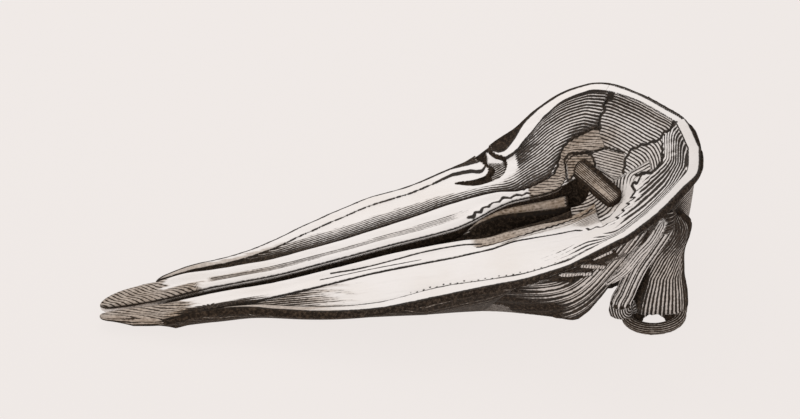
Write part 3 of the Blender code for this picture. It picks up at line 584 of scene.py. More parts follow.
def drawn_in(rings, length, share_start):
    """Rounds off a loft's first rings towards their middle over a length."""
    middles = rings.mean(axis=1, keepdims=True)
    s = np.clip(lengths_along(middles[:, 0]) / length, 0.0, 1.0)
    size = mix(share_start, 1.0, np.sqrt(1 - (1 - s) ** 2))
    return middles + (rings - middles) * size[:, None, None]


def sections(run, outline, side=1.0):
    """Rings through an outline, given as pairs of y and z along the run."""
    return np.stack([columns(run, side * y, z) for y, z in outline], axis=1)


def keep_in_box(points, shift=0.0, lowest=0.0):
    """Points kept over a lowest z and in the box of the plain solids, moved back by a shift."""
    low = np.array((CAD_LOW[0] + shift + BOX_GAP, CAD_LOW[1] + BOX_GAP, lowest))
    high = np.array(CAD_HIGH) + (shift, 0, 0) - BOX_GAP
    return np.clip(points, low, high)


def maxilla_rings(table, step, band_count):
    """Fine sections of an upper jaw bone, with what is known of each point of its top."""
    rows = smooth_rows(table, step)
    rim = rows[:, :2]
    suture = rows[:, 2:]
    rim_run, rim_y = rim.T
    breadth = np.linalg.norm(suture - rim, axis=1)
    inward = (suture - rim) / breadth[:, None]
    side = np.where(inward[:, 1] < 0, 1.0, -1.0)
    rear = (np.abs(rim_y) < 0.5) & (rim_run > 4.0)
    basin = np.where(rear, 1.0, ease(BASIN_START, BASIN_FULL, rim_run))
    high = read(MARGIN, 2, rim_run)
    band = np.minimum(band_width(rim_run, rim_y) + 0.03, breadth * 0.6)[:, None]
    near = np.linspace(0.0, 1.0, band_count, endpoint=False) * band
    rest = np.linspace(0.0, 1.0, MAXILLA_TOP_POINTS - band_count) * (breadth[:, None] - band)
    across = np.concatenate((near, band + rest), axis=1)
    spots = rim[:, None, :] + inward[:, None, :] * across[..., None]
    run = spots[..., 0]
    y = spots[..., 1]
    gap, rim_height = rim_distance(run, y)
    top = columns(run, y, top_surface(run, y, gap, rim_height))

    overlap = SUTURE_OVERLAP * (1 - ease(4.25, 4.35, rim_run))
    inner = suture + inward * overlap[:, None]
    edge = bowl_height(*inner.T)
    keel = read(KEEL, 1, rim_run)
    floor = read(KEEL, 2, rim_run)
    lip = np.maximum((np.abs(rim_y) - keel) * UNDERCUT + floor, high - 0.15)
    lip = np.minimum(lip, high - 0.07)
    root = side * mix(0.20, 0.07, ease(0.5, 0.8, rim_run))
    bed = np.minimum(premaxilla_foot(rim_run, root) + 0.03, edge - 0.03)
    cheek = side * mix(keel, np.abs(rim_y), 0.5)
    jaw = (
        (root, bed),
        (root, floor),
        (side * keel, floor),
        (cheek, mix(floor, lip, 0.52)),
        (rim_y - side * 0.012, lip),
    )
    sunk = RIM_STEP * np.minimum(breadth / 0.4, 1.0)
    plate = [(inner, edge - PLATE_THICKNESS * 0.5), (inner, edge - PLATE_THICKNESS)]
    for share in (0.30, 0.65):
        spot = mix(suture, rim, share)
        plate.append((spot, bowl_height(*spot.T) - PLATE_THICKNESS - sunk))
    under = rim + inward * (0.02 + 0.075 * basin[:, None])
    plate.append((under, high - PLATE_THICKNESS + 0.015))
    control = [columns(*suture.T, top[:, -1, 2] - 0.012), columns(*inner.T, edge - 0.03)]
    for (low_y, low_z), (spot, height) in zip(jaw, plate):
        below = columns(rim_run, low_y, low_z)
        control.append(mix(below, columns(*spot.T, height), basin[:, None]))
    control.append(columns(rim_run, rim_y, high - edge_depth(rim_run, rim_y) - 0.010))
    rings = np.concatenate((top, rounded(np.stack(control, axis=1))), axis=1)
    return drawn_in(rings, 0.09, 0.25), gap, breadth[:, None] - across, rim_run[:, None]


def premaxilla_rings(table, step):
    """Fine sections of a premaxilla, the share of its breadth at each point, and its breadth."""
    rows = smooth_rows(table, step)
    outer = rows[:, :2]
    inner = rows[:, 2:]
    breadth = np.linalg.norm(outer - inner, axis=1)
    lip = PREMAXILLA_LIP * np.minimum(breadth / 0.2, 1.0)
    share = np.linspace(0.0, 1.0, PREMAXILLA_TOP_POINTS)
    profile = smooth_curve((0.0, 0.22, 0.55, 0.85, 1.0), (-0.3, 1.0, -0.4, 0.4, 0.0), share)
    spots = inner[:, None, :] + (outer - inner)[:, None, :] * share[None, :, None]
    z = bowl_height(spots[..., 0], spots[..., 1]) + profile * lip[:, None]
    from_edge = np.minimum(share, 1 - share) * breadth[:, None]
    z -= 0.010 * (1 - np.clip(from_edge / 0.012, 0.0, 1.0)) ** 2
    top = columns(spots[..., 0], spots[..., 1], z)
    low = []
    for part in (1.0, 1.0, 0.5, 0.0, 0.0):
        spot = mix(inner, outer, part)
        low.append(columns(*spot.T, premaxilla_foot(*spot.T)))
    low[0][:, 2] = mix(top[:, -1, 2], low[0][:, 2], 0.4)
    low[4][:, 2] = mix(top[:, 0, 2], low[4][:, 2], 0.4)
    lower = rounded(np.stack([top[:, -1], *low, top[:, 0]], axis=1), 2)[:, 1:-1]
    rings = np.concatenate((top, lower), axis=1)
    return drawn_in(rings, 0.07, 0.30), share, breadth[:, None]


def gutter_rings(step):
    """Sections of the gutter bone, and the y of its two lips on each of them."""
    run, left, left_lip, right_lip, right, depth = smooth_rows(GUTTER, step).T
    rise = ease(2.95, 3.20, run)
    middle = (left_lip + right_lip) / 2
    bedded = premaxilla_foot(run, run * 0.0) + 0.02
    top = mix(bedded, bowl_height(run, middle) - 0.02, rise)
    low = read(KEEL, 2, run)
    shoulder = np.maximum(mix(bedded - 0.02, top - 0.14, rise), low + 0.02)
    foot = run * 0.0 + 0.080
    outline = (
        (foot * 0.0, low + 0.012),
        (-foot, low + 0.004),
        (left, shoulder),
        (left, top),
        (left_lip, top),
        (mix(left_lip, middle, 0.35), top - depth),
        (mix(right_lip, middle, 0.35), top - depth),
        (right_lip, top),
        (right, top),
        (right, shoulder),
        (foot, low + 0.004),
        (foot * 0.0, low + 0.012),
    )
    return rounded(sections(run, outline))[:, :-1], left_lip[:, None], right_lip[:, None]


def shade(body, fields):
    """Keeps one number for each vertex under each name, for the surface's finish to read."""
    for name, values in fields.items():
        attribute = body.data.attributes.new(name, "FLOAT", "POINT")
        attribute.data.foreach_set("value", np.asarray(values, np.float32))
    body.data.shade_smooth()


def clad(name, rings, phase, tone, warm, seam):
    """A bone through rings, kept in the box, with the fields of its points and of both ends."""
    body = loft(name, keep_in_box(rings, HALF_LENGTH, CAD_LOW[2] + BOX_GAP))
    fields = {"phase": phase, "tone": tone, "warm": warm, "seam": seam}
    for key, values in fields.items():
        flat = np.broadcast_to(values, rings.shape[:2]).ravel()
        fields[key] = np.concatenate((flat, (flat[0], flat[-1])))
    shade(body, fields)
    return body


def clad_long_bone(name, rings, upper, tone, warm, line_step):
    """A bone from the fields of its upper face and the tone and warmth of the rest."""
    size = (len(rings), rings.shape[1] - upper[0].shape[1])
    phase = np.cumsum(np.full(size, line_step), axis=1) + upper[0][:, -1:]
    fields = []
    for above, below in zip(upper, (phase, tone, warm, NO_LINE)):
        fields.append(np.concatenate((above, np.broadcast_to(below, size)), axis=1))
    return clad(name, rings, *fields)


def carve_top(top, seam_depth, bump):
    """Cuts the sutures into the top of a long bone; gives run, y and distance from a suture."""
    run = top[..., 0]
    y = top[..., 1]
    seam = seam_distance(run, y)
    top[..., 2] -= seam_depth * (1 - ease(0.0, 0.012, seam))
    top[..., 2] += bump * wander(run * 9, y * 30)
    return run, y, seam


class Wire:
    """A shader socket that takes part in sums."""

    def __init__(self, graph, socket):
        self.graph = graph
        self.socket = socket

    def _sum(self, operation, first, second):
        return self.graph.node("ShaderNodeMath", {"operation": operation}, {0: first, 1: second})

    def __add__(self, other):
        return self._sum("ADD", self, other)

    def __radd__(self, other):
        return self._sum("ADD", other, self)

    def __sub__(self, other):
        return self._sum("SUBTRACT", self, other)

    def __rsub__(self, other):
        return self._sum("SUBTRACT", other, self)

    def __mul__(self, other):
        return self._sum("MULTIPLY", self, other)

    def __rmul__(self, other):
        return self._sum("MULTIPLY", other, self)

    def __abs__(self):
        return self.graph.node("ShaderNodeMath", {"operation": "ABSOLUTE"}, {0: self})

    def fraction(self):
        return self.graph.node("ShaderNodeMath", {"operation": "FRACT"}, {0: self})

    def at_least(self, other):
        return self._sum("MAXIMUM", self, other)

    def at_most(self, other):
        return self._sum("MINIMUM", self, other)

    def step_up(self, low, high):
        """0 under low, 1 over high, smooth between them."""
        settings = {"interpolation_type": "SMOOTHSTEP"}
        return self.graph.node("ShaderNodeMapRange", settings, {"Value": self, 1: low, 2: high})


class Graph:
    """A material's nodes, each made by one call."""

    def __init__(self, name):
        self.material = bpy.data.materials.new(name)
        self.material.use_nodes = True
        self.tree = self.material.node_tree
        self.tree.nodes.clear()

    def node(self, kind, settings=None, inputs=None, output=0):
        made = self.tree.nodes.new(kind)
        for key, value in (settings or {}).items():
            setattr(made, key, value)
        for key, value in (inputs or {}).items():
            if isinstance(value, Wire):
                self.tree.links.new(value.socket, made.inputs[key])
            else:
                made.inputs[key].default_value = value
        return Wire(self, made.outputs[output]) if len(made.outputs) else None

    def kept(self, name):
        """The number that a mesh keeps for each vertex under a name."""
        settings = {"attribute_type": "GEOMETRY", "attribute_name": name}
        return self.node("ShaderNodeAttribute", settings, output="Fac")

    def noise(self, place, scale, detail=2.0, rough=0.5):
        inputs = {"Vector": place, "Scale": scale, "Detail": detail, "Roughness": rough}
        return self.node("ShaderNodeTexNoise", {}, inputs)

    def blend(self, share, first, second):
        settings = {"data_type": "RGBA"}
        return self.node("ShaderNodeMix", settings, {0: share, 6: first, 7: second}, output=2)


def engraved_bone(name, look, plain_roughness):
    """Pale bone with dark lines cut along its grain, closer and broader where its tone paints shade darker,
    and with dark seams.
    """
    graph = Graph(name)
    spot = graph.node("ShaderNodeTexCoord", output="Object")
    phase = graph.kept("phase")
    tone = graph.kept("tone")
    warm = graph.kept("warm")
    seam = graph.kept("seam")
    drift = graph.noise(spot, 7.0, 3.0)
    swell = graph.noise(spot, 42.0, 2.0)
    grain = graph.noise(spot, 160.0, 3.0, 0.65)
    cloud = graph.noise(spot, 2.2, 4.0)

    # hatch lines of painted shade: their breadth follows the tone
    across = abs((phase + (drift - 0.5) * 0.24).fraction() - 0.5) * 2.0
    width = tone * 1.28 - 0.14 + (swell - 0.5) * 0.65
    breaks = (1.0 - tone).at_least(0.0) * (drift - 0.50).at_least(0.0) * 1.4
    width = width - breaks
    cut = 1.0 - (across - width).step_up(-0.16, 0.16)
    cut = cut * tone.step_up(0.02, 0.10)
    # painted shade: where the tone is darkest the ground between the lines turns bistre
    deep = tone.step_up(0.78, 0.98)
    speck = (grain + swell * 0.45).step_up(0.72, 0.90) * deep
    cut = cut * (1.0 - speck * 0.38)
    line = 1.0 - (seam + (swell - 0.5) * 0.010).step_up(0.0070, 0.0135)
    # ink of the hatch lines, which paint shade, and of the seams
    shade_and_seam_ink = cut.at_least(line)

    pale = graph.blend(cloud.step_up(0.35, 0.75), (*look.paper, 1.0), (*look.ivory, 1.0))
    tan = graph.blend(swell.step_up(0.3, 0.7), (*look.tan, 1.0), (*look.umber, 1.0))
    # brown ground: the brown of painted shade on walls and in hollows, and of the tan patches
    ground = graph.blend((warm * (0.55 + cloud * 0.9)).at_most(1.0), pale, tan)
    pits = graph.node("ShaderNodeTexVoronoi", {"feature": "F1"}, {"Vector": spot, "Scale": 95.0})
    pores = (1.0 - pits.step_up(0.10, 0.24)) * swell.step_up(0.55, 0.75)
    ground = graph.blend(pores * 0.30, ground, (*look.tan, 1.0))
    ground = graph.blend(deep * 0.92, ground, (*look.bistre, 1.0))
    # ink colour of the hatch lines of painted shade and of the seams
    shade_and_seam_line_colour = graph.blend(swell.step_up(0.40, 0.75), (*look.ink, 1.0), (*look.sepia, 1.0))
    colour = graph.blend(shade_and_seam_ink * 0.97, ground, shade_and_seam_line_colour)

    height = grain * 0.10 + cloud * 0.15 - shade_and_seam_ink * 0.75 - pores * 0.30
    bump = graph.node("ShaderNodeBump", {}, {"Strength": 0.45, "Distance": 0.004, "Height": height})
    rough = plain_roughness + (grain - 0.5) * 0.16 + shade_and_seam_ink * 0.10
    inputs = {"Base Color": colour, "Roughness": rough, "Normal": bump, "Specular IOR Level": 0.06}
    bone = graph.node("ShaderNodeBsdfPrincipled", {}, inputs)
    graph.node("ShaderNodeOutputMaterial", {}, {"Surface": bone})
    return graph.material


def plain_floor(name, colour, glow):
    """A backlit sheet: it glows evenly, and what falls on it leaves only a faint shadow."""
    graph = Graph(name)
    spot = graph.node("ShaderNodeTexCoord", output="Object")
    fibre = graph.noise(spot, 30.0, 3.0)
    dim = tuple(value * FLOOR_ALBEDO for value in colour)
    tint = tuple(value * 0.97 for value in dim)
    shade_of = graph.blend(fibre, (*dim, 1.0), (*tint, 1.0))
    inputs = {"Base Color": shade_of, "Roughness": 0.95, "Specular IOR Level": 0.0,
              "Emission Color": (*colour, 1.0), "Emission Strength": glow}
    floor = graph.node("ShaderNodeBsdfPrincipled", {}, inputs)
    graph.node("ShaderNodeOutputMaterial", {}, {"Surface": floor})
    graph.material.cycles.emission_sampling = "NONE"
    return graph.material


def zigzag(along, size, wave):
    """Interlocking teeth of a suture: an uneven triangle wave."""
    turn = along / wave + 0.25 * np.sin(along * 9.0)
    teeth = np.abs((turn % 1.0) * 2 - 1) * 2 - 1
    return size * teeth * (0.75 + 0.25 * np.sin(along * 23.0))


def toothed(points, size=0.008, wave=0.05, step=0.008):
    """A polyline in plan with teeth along it."""
    rows = smooth_rows(points, step)
    legs = np.gradient(rows, axis=0)
    legs /= np.maximum(np.linalg.norm(legs, axis=1, keepdims=True), 1e-9)
    along = np.arange(len(rows)) * step
    normal = columns(-legs[:, 1], legs[:, 0])
    return rows + normal * zigzag(along, size, wave)[:, None]


# sutures that show in the basin, in plan: run and y
FAR_REAR_SUTURE = ((4.39, 0.82), (4.33, 0.82), (4.30, 0.75), (4.26, 0.71), (4.26, 0.65), (4.22, 0.65))
REAR_SUTURE = ((4.84, 0.33), (4.78, 0.33), (4.72, 0.33), (4.71, 0.30), (4.64, 0.32), (4.57, 0.34),
               (4.50, 0.36), (4.43, 0.33), (4.41, 0.29), (4.39, 0.22))
REAR_BRANCH = ((4.71, 0.25), (4.70, 0.15), (4.66, 0.09), (4.61, 0.09), (4.55, 0.12), (4.48, 0.15))
NARIS_ARCH = ((3.94, 0.33), (3.94, 0.44), (3.94, 0.51), (3.99, 0.54), (4.05, 0.52), (4.13, 0.50),
              (4.18, 0.49), (4.27, 0.48), (4.38, 0.40), (4.42, 0.37))
NARIS_BRANCH = ((4.13, 0.50), (4.17, 0.45), (4.18, 0.38))
PANEL = ((4.13, 0.50), (4.18, 0.49), (4.27, 0.48), (4.38, 0.40), (4.42, 0.37), (4.39, 0.22),
         (4.33, 0.20), (4.18, 0.38), (4.17, 0.45))
# sutures beside the groove, the lobed bone by the blowhole and two creases on the near side
GROOVE_FAR_SUTURE = ((3.10, 0.165), (3.17, 0.205), (3.25, 0.245), (3.33, 0.278), (3.40, 0.300),
                     (3.47, 0.306), (3.53, 0.305), (3.62, 0.300))
GROOVE_NEAR_SUTURE = ((3.11, -0.223), (3.29, -0.225), (3.47, -0.180), (3.64, -0.130), (3.81, -0.088),
                      (3.99, -0.018), (4.10, 0.040))
LOBE = ((3.95, 0.504), (3.99, 0.537), (4.06, 0.524), (4.14, 0.504), (4.17, 0.451), (4.18, 0.382),
        (4.12, 0.349), (4.03, 0.379), (3.95, 0.330))
CREASE = ((1.91, -0.114), (2.31, -0.140), (2.66, -0.132), (2.98, -0.151), (3.15, -0.192))
LOW_CREASE = ((1.82, -0.150), (2.15, -0.170), (2.47, -0.209), (2.64, -0.220))


def plan_lines():
    """Every drawn seam between bones, from above."""
    right = smooth_rows(RIGHT_PREMAXILLA, 0.01)
    left = smooth_rows(LEFT_PREMAXILLA, 0.01)
    rear = smooth_rows(LEFT_MAXILLA, 0.01)[:, 2:]
    left = left[left[:, 0] > 0.5]
    return [
        (1.0, right[right[:, 0] < 3.55][:, :2]),
        (1.0, toothed(right[right[:, 0] >= 3.55][::8, :2], 0.010, 0.055)),
        (0.9, left[left[:, 0] < 3.95][:, :2]),
        (1.0, toothed(rear[(rear[:, 0] > 3.98) & (rear[:, 1] < 0.11)][::8], 0.030, 0.115)),
        (0.8, toothed(FAR_REAR_SUTURE, 0.014, 0.07)),
        (0.9, toothed(REAR_SUTURE, 0.012, 0.07)),
        (1.0, toothed(REAR_BRANCH, 0.008, 0.05)),
        (1.3, toothed(NARIS_ARCH, 0.005, 0.04)),
        (1.3, toothed(NARIS_BRANCH, 0.005, 0.04)),
        (0.7, toothed(GROOVE_FAR_SUTURE, 0.017, 0.085)),
        (1.1, toothed(GROOVE_NEAR_SUTURE, 0.009, 0.06)),
        (1.3, toothed(LOBE, 0.004, 0.04)),
        (1.5, smooth_rows(CREASE, 0.03)),
        (1.5, smooth_rows(LOW_CREASE, 0.03)),
    ]


PLAN_LINES = plan_lines()


def seam_distance(run, y):
    """Distance from the nearest drawn seam, less for the bolder ones."""
    points = columns(run, y)
    best = np.full(run.shape, NO_LINE)
    for fineness, line in PLAN_LINES:
        low = line.min(0) - 0.06
        high = line.max(0) + 0.06
        near = ((points > low) & (points < high)).all(axis=-1)
        if near.any():
            gap, _ = nearest(points[near], line)
            best[near] = np.minimum(best[near], gap * fineness)
    return best


def basin_share(run, y):
    """0 at the deepest point of the basin and 1 at the margin."""
    outline = np.concatenate((MARGIN_LINES[-1.0][:, :2], MARGIN_LINES[1.0][::-1, :2]))
    reach = outline - BASIN_CENTRE
    turns = np.arctan2(reach[:, 1], -reach[:, 0])
    order = np.argsort(turns)
    away = columns(run, y) - BASIN_CENTRE
    at = np.arctan2(away[:, 1], -away[:, 0])
    far = np.interp(at, turns[order], np.linalg.norm(reach, axis=1)[order])
    return np.linalg.norm(away, axis=1) / far


def notch_depth(run, y):
    """How deep the notch in front of the eye is cut, and how near its channel is."""
    gap, bore = beside_line(run, y, smooth_rows(NOTCH, 0.03))
    share = np.clip(gap / bore, 0.0, 1.0)
    return bore * 0.95 * np.sqrt(1 - share ** 2), gap / bore


def build_right_maxilla(step):
    rings, gap, from_suture, _ = maxilla_rings(RIGHT_MAXILLA, step, RIGHT_BAND_POINTS)
    top = rings[:, :MAXILLA_TOP_POINTS]
    cut, beside_notch = notch_depth(top[..., 0], top[..., 1])
    top[..., 2] -= cut
    run, y, seam = carve_top(top, 0.006, 0.003)
    band = band_width(run, y)
    ledge = ledge_width(run, y)
    uneven = ragged(run, y)
    bare = off_band(gap, band)
    shaded = read(FAR_SHADE, 1, run)

    # tone: painted shade on the slope above the suture, darker towards the front, and on the basin's far
    # wall
    front = ease(2.0, 1.2, run)
    slope = read(SLOPE_WIDTH, 1, run)
    inside = 1 - ease(-0.015, 0.015, from_suture - slope + 0.015 * uneven)
    tone = inside * (mix(0.95, 0.34, np.clip(from_suture / slope, 0, 1)) + 0.28 * front)
    basin = ease(3.552, 3.580, run + 0.008 * uneven)
    wall = 0.54 + 0.15 * ease(0.08, -0.08, gap - shaded + 0.03 * uneven)
    wall += 0.20 * ease(3.78, 3.62, run + 0.05 * uneven) * ease(0.42, 0.36, gap)
    wall += 0.25 * ease(0.35, 0.0, from_suture) * ease(4.0, 3.7, run)
    # painted shade on the margin's rounded edge
    chamfer = on_edge(gap, ledge)
    # painted shade in the notch: along its channel, over its hollow and where it is cut deep
    hollow_shade_depth = signed_depth(run, y, HOOK)
    shade_hatched = (ease(1.22, 1.02, beside_notch), ease(-0.010, 0.006, hollow_shade_depth + 0.006 * uneven),
               ease(0.004, 0.018, cut))
    hook = np.maximum.reduce(shade_hatched)
    tone = np.maximum(tone, basin * wall) * bare
    tone = np.maximum(tone, chamfer * mix(0.90, EDGE_SHADE_TONE, ease(3.2, 3.5, run)))
    tone = np.maximum(tone * (1 - hook), hook * 1.08)
    # the brown ground follows the painted shade
    wall_warm = basin * bare * (0.25 + 0.5 * ease(0.9, 1.05, wall))
    warm = np.maximum.reduce((hook * 0.95, inside * (0.20 + 0.45 * front), wall_warm, chamfer * 0.8))

    finer = read(((2.6, 1.7), (3.1, 1.1), (3.4, 1.1), (3.7, 2.4)), 1, run)
    rim_line = np.abs(gap - band - 0.008 * (run < 3.4)) * finer
    rim_line += 0.005 * (wander(run * 60) > 0.2) * (run < 2.9) - 0.006 * ease(2.9, 3.1, run)
    ledge_line = np.abs(gap - 0.028) + 0.003 + NO_LINE * (run > 3.2)
    seam = np.minimum.reduce((seam, rim_line, np.abs(gap - ledge), ledge_line))
    turn = ease(3.25, 3.7, run)
    phase = mix(from_suture, 0.62 - gap, turn) / LINE_SPACING
    phase -= STEP_LINES * turn * step_share(gap, band)
    upper = (phase, tone, warm, seam)
    # the underside gets the painted shade of undersides
    return clad_long_bone("right_maxilla_bone", rings, upper, UNDERSIDE_SHADE_TONE, 0.6, UNDERSIDE_LINE_STEP)


def build_left_maxilla(step):
    rings, gap, from_suture, rim_run = maxilla_rings(LEFT_MAXILLA, step, LEFT_BAND_POINTS)
    top = rings[:, :MAXILLA_TOP_POINTS]
    run, y, seam = carve_top(top, 0.006, 0.003)
    band = band_width(run, y)
    uneven = ragged(run, y)
    level = lifted(y, top[..., 2])
    rim = MARGIN_LINES[-1.0]
    from_rim, _ = nearest(columns(run, level), columns(rim[:, 0], lifted(rim[:, 1], rim[:, 2])))
    phase = np.where(run < 2.6, level / 0.0165, from_rim / LINE_SPACING)
    phase += 3.0 * ease(0.0, 0.20, gap - band) * ease(3.9, 4.2, run)

    dashes = 0.75 + 0.45 * wander(run * 26, np.floor(phase) * 2.3)
    # painted shade: a hatched hollow near the front, a band inside the rim in the basin, the rear wall and
    # the rounded edge
    patch = ease(2.10, 1.55, run + 0.16 * uneven)
    tone = 0.70 * patch * mix(1.0, dashes, ease(1.6, 1.85, run))
    beside_rim = ease(0.34, 0.22, gap - band) * ease(3.45, 3.95, run + 0.1 * uneven)
    tone = np.maximum(tone, 0.48 * beside_rim * np.clip(dashes + ease(3.8, 4.0, run), 0, 1))
    rear = ease(4.15, 4.50, rim_run) * ease(0.02, 0.12, from_suture + 0.04 * uneven)
    tone = np.maximum(tone, rear * (0.56 + 0.16 * ease(-0.55, 0.1, y))) * off_band(gap, band)
    edge = mix(RIM_ROUND, 0.016, ease(4.70, 4.90, run))
    tone = np.maximum(tone, on_edge(gap, edge) * EDGE_SHADE_TONE)

    cell = run / PIT_SPACING
    along = (cell % 1.0 - 0.5) * PIT_SPACING
    aside = gap - band - 0.034 - 0.010 * np.sin(np.floor(cell) * 2.4)
    pit = np.hypot(along, aside) + NO_LINE * ((run < 2.5) | (run > 3.75))
    top[..., 2] -= 0.004 * ease(0.014, 0.004, pit)
    rear_share = ease(4.40, 4.60, run)
    rim_line = np.abs(gap - band - 0.008 * (1 - rear_share)) * mix(0.75, 2.4, rear_share)
    seam = np.minimum.reduce((seam, rim_line, np.abs(gap - edge), pit + 0.002))
    # the brown ground follows the painted shade; the underside gets the painted shade of undersides
    upper = (phase, tone, patch * 0.75 + rear * 0.12, seam)
    return clad_long_bone("left_maxilla_bone", rings, upper, UNDERSIDE_SHADE_TONE, 0.7, UNDERSIDE_LINE_STEP)


def right_premaxilla_finish(run, y, share, breadth):
    """Grain, tone and warmth of the upper face of the right one."""
    uneven = 0.05 * ragged(run, y)
    upper = ease(0.53, 0.47, run - 0.10 * share + uneven)
    lower = ease(0.90, 0.80, run + uneven) * ease(0.50, 0.40, share)
    tip = np.maximum(upper, lower)
    # painted shade in a shallow channel along the middle
    strip = ease(0.20, 0.13, np.abs(share - 0.42)) * ease(0.90, 0.97, run) * ease(3.2, 2.9, run)
    plate = ease(3.610, 3.625, run)
    tone = np.maximum.reduce((tip * 0.40, strip * (0.58 - 0.16 * ease(1.5, 2.8, run)), plate * 0.36))
    warm = np.maximum(tip * 0.80 + strip * mix(0.7, 0.2, ease(1.1, 1.8, run)), plate * 0.90)
    slanted = (y + 0.61 * run) / TIP_LINE_SPACING
    phase = mix(share * breadth / 0.022, slanted, ease(0.95, 0.80, run))
    return mix(phase, picture_level(run, y) / LINE_SPACING, ease(3.5, 3.6, run)), tone, warm


def left_premaxilla_finish(run, y, share, breadth):
    """Grain, tone and warmth of the upper face of the left one."""
    from_inner = share * breadth
    tip = ease(0.72, 0.62, run - 0.12 * share + 0.07 * ragged(run, y))
    # painted shade on the flank that falls to the outer edge near the tip
    flank = ease(0.66, 0.82, share) * ease(0.5, 0.7, run) * ease(1.45, 1.15, run)
    from_ribbon = from_inner - read(RIBBON_WIDTH, 1, run)
    ribbon = ease(0.008, -0.008, from_ribbon) * ease(3.05, 3.12, run)
    below = ease(0.075, 0.055, from_ribbon) * (1 - ribbon) * ease(3.2, 3.4, run)
    rear = ease(3.85, 4.0, run) * ease(0.85, 0.55, share) * (1 - ribbon)
    tone = np.maximum.reduce((tip * 0.40, flank * 0.92, ribbon * 0.16, below * 0.34, rear * 0.42))
    warm = np.maximum.reduce((tip * 0.85 + flank * 0.5, ribbon * 0.95, (below + rear) * 0.45))
    slanted = (y + 0.44 * run) / TIP_LINE_SPACING
    phase = mix(from_inner / 0.026, slanted, ease(1.0, 0.80, run))
    return phase, tone, warm


def build_premaxilla(name, table, step, finish):
    rings, share, breadth = premaxilla_rings(table, step)
    run, y, seam = carve_top(rings[:, :PREMAXILLA_TOP_POINTS], 0.004, 0.002)
    seam = np.minimum(seam, share * breadth + 0.002)
    down = np.linspace(0.0, 1.0, rings.shape[1] - PREMAXILLA_TOP_POINTS)
    at_tip = ease(0.62, 0.42, run[:, :1])
    foot = ease(0.6, 0.8, down)
    # painted shade on the sides, darker downwards and all round the tip; the bedded foot is kept light
    tone = mix(1.02, mix(mix(0.40, 1.0, ease(0.10, 0.25, down)), 0.12, foot), at_tip)
    warm = mix(0.6, mix(0.9, 0.2, foot), at_tip)
    upper = (*finish(run, y, share, breadth), seam)
    return clad_long_bone(name, rings, upper, tone, warm, PREMAXILLA_LINE_STEP)


def build_vomer(step):
    rings, left_lip, right_lip = gutter_rings(step)
    run, y, z = np.moveaxis(rings, -1, 0)
    outside = y - right_lip
    ribbon = ease(-0.01, 0.01, outside) * ease(3.0, 3.15, run) * ease(3.925, 3.890, run)
    near = ease(0.02, -0.05, y - (left_lip + right_lip) / 2) * ease(2.8, 3.0, run) * ease(3.7, 3.4, run)
    # painted shade deep in the groove, lighter on the near slope; the tan ribbon beside it is light
    tone = mix(mix(1.05, 0.84, near), 0.16, ribbon)
    warm = mix(mix(0.45, 1.0, near), 1.0, ribbon)
    phase = mix(y / (LINE_SPACING * 0.8) + z * 6, (y + 0.35 * run) / 0.020, near)
    seam = np.abs(outside) + 0.002 + NO_LINE * (1 - ease(3.0, 3.1, run))
    return clad("vomer_bone", rings, phase, tone, warm, seam)


def stadium(offset, count):
    """The nasal bone's outline from above, drawn in by an offset."""
    first, last = np.array(NASAL_BONE_ENDS)
    length = np.linalg.norm(last - first)
    along = (last - first) / length
    across = np.array((-along[1], along[0]))
    half = NASAL_BONE_WIDTH / 2
    turn = np.linspace(0.0, 2 * np.pi, count, endpoint=False)
    reach = columns(np.cos(turn), np.sin(turn)) * (half - offset)
    reach[:, 0] += np.clip(np.cos(turn) * 9, -1, 1) * (length / 2 - half)
    return reach[:, :1] * along + reach[:, 1:] * across, reach


def build_nasal_bone():
    count = 220
    half = NASAL_BONE_WIDTH / 2
    wall = NASAL_BONE_TOP - NASAL_BONE_EDGE - NASAL_BONE_FOOT
    profile = [(0.0, NASAL_BONE_FOOT + wall * t / NASAL_BONE_ROWS) for t in range(NASAL_BONE_ROWS)]
    for k in range(9):
        turn = math.pi / 2 * k / 8
        drop = NASAL_BONE_EDGE * (1 - math.sin(turn))
        profile.append((NASAL_BONE_EDGE * (1 - math.cos(turn)), NASAL_BONE_TOP - drop))
    for k in range(1, 9):
        inset = mix(NASAL_BONE_EDGE, half * 0.96, k / 8)
        profile.append((inset, NASAL_BONE_TOP - 0.004 * math.sin(math.pi * k / 8)))
    middle = np.array(NASAL_BONE_ENDS).mean(0)
    rings = []
    phases = []
    tones = []
    for offset, height in profile:
        away, reach = stadium(offset, count)
        bulge = 0.004 * wander(reach[:, 0] * 30, reach[:, 1] * 40)
        climb = min(max((height - NASAL_BONE_FOOT - NASAL_BONE_EDGE) / (wall - NASAL_BONE_EDGE), 0), 1)
        z = height - 0.5 * np.abs(bulge) * (height > NASAL_BONE_TOP - 0.03)
        z += climb * (away @ np.array(NASAL_BONE_SLOPE))
        rings.append(columns(*(middle + away).T, z))
        phases.append(reach[:, 1] / 0.0125 + (height - NASAL_BONE_TOP) * 20)
        # painted shade on the rear side and at both ends, darker towards the edges, and a painted highlight
        # on the front half of the top
        edge = 1 - min(offset / (half * 0.30), 1.0)
        far = ease(0.012, 0.040, reach[:, 1]) + ease(0.20, 0.26, np.abs(reach[:, 0])) * 0.8
        light = ease(0.020, 0.0, np.abs(reach[:, 1] + 0.035)) * ease(0.15, 0.03, np.abs(reach[:, 0] - 0.09))
        tones.append(0.52 + 0.56 * np.clip(far, 0, 1) + 0.40 * edge - 0.60 * light)
    tone = np.array(tones)
    # painted shade on the steep sides
    tone[:NASAL_BONE_ROWS] = 1.05
    return clad("nasal_bone_fine", np.array(rings), np.array(phases), tone, 0.9, NO_LINE)


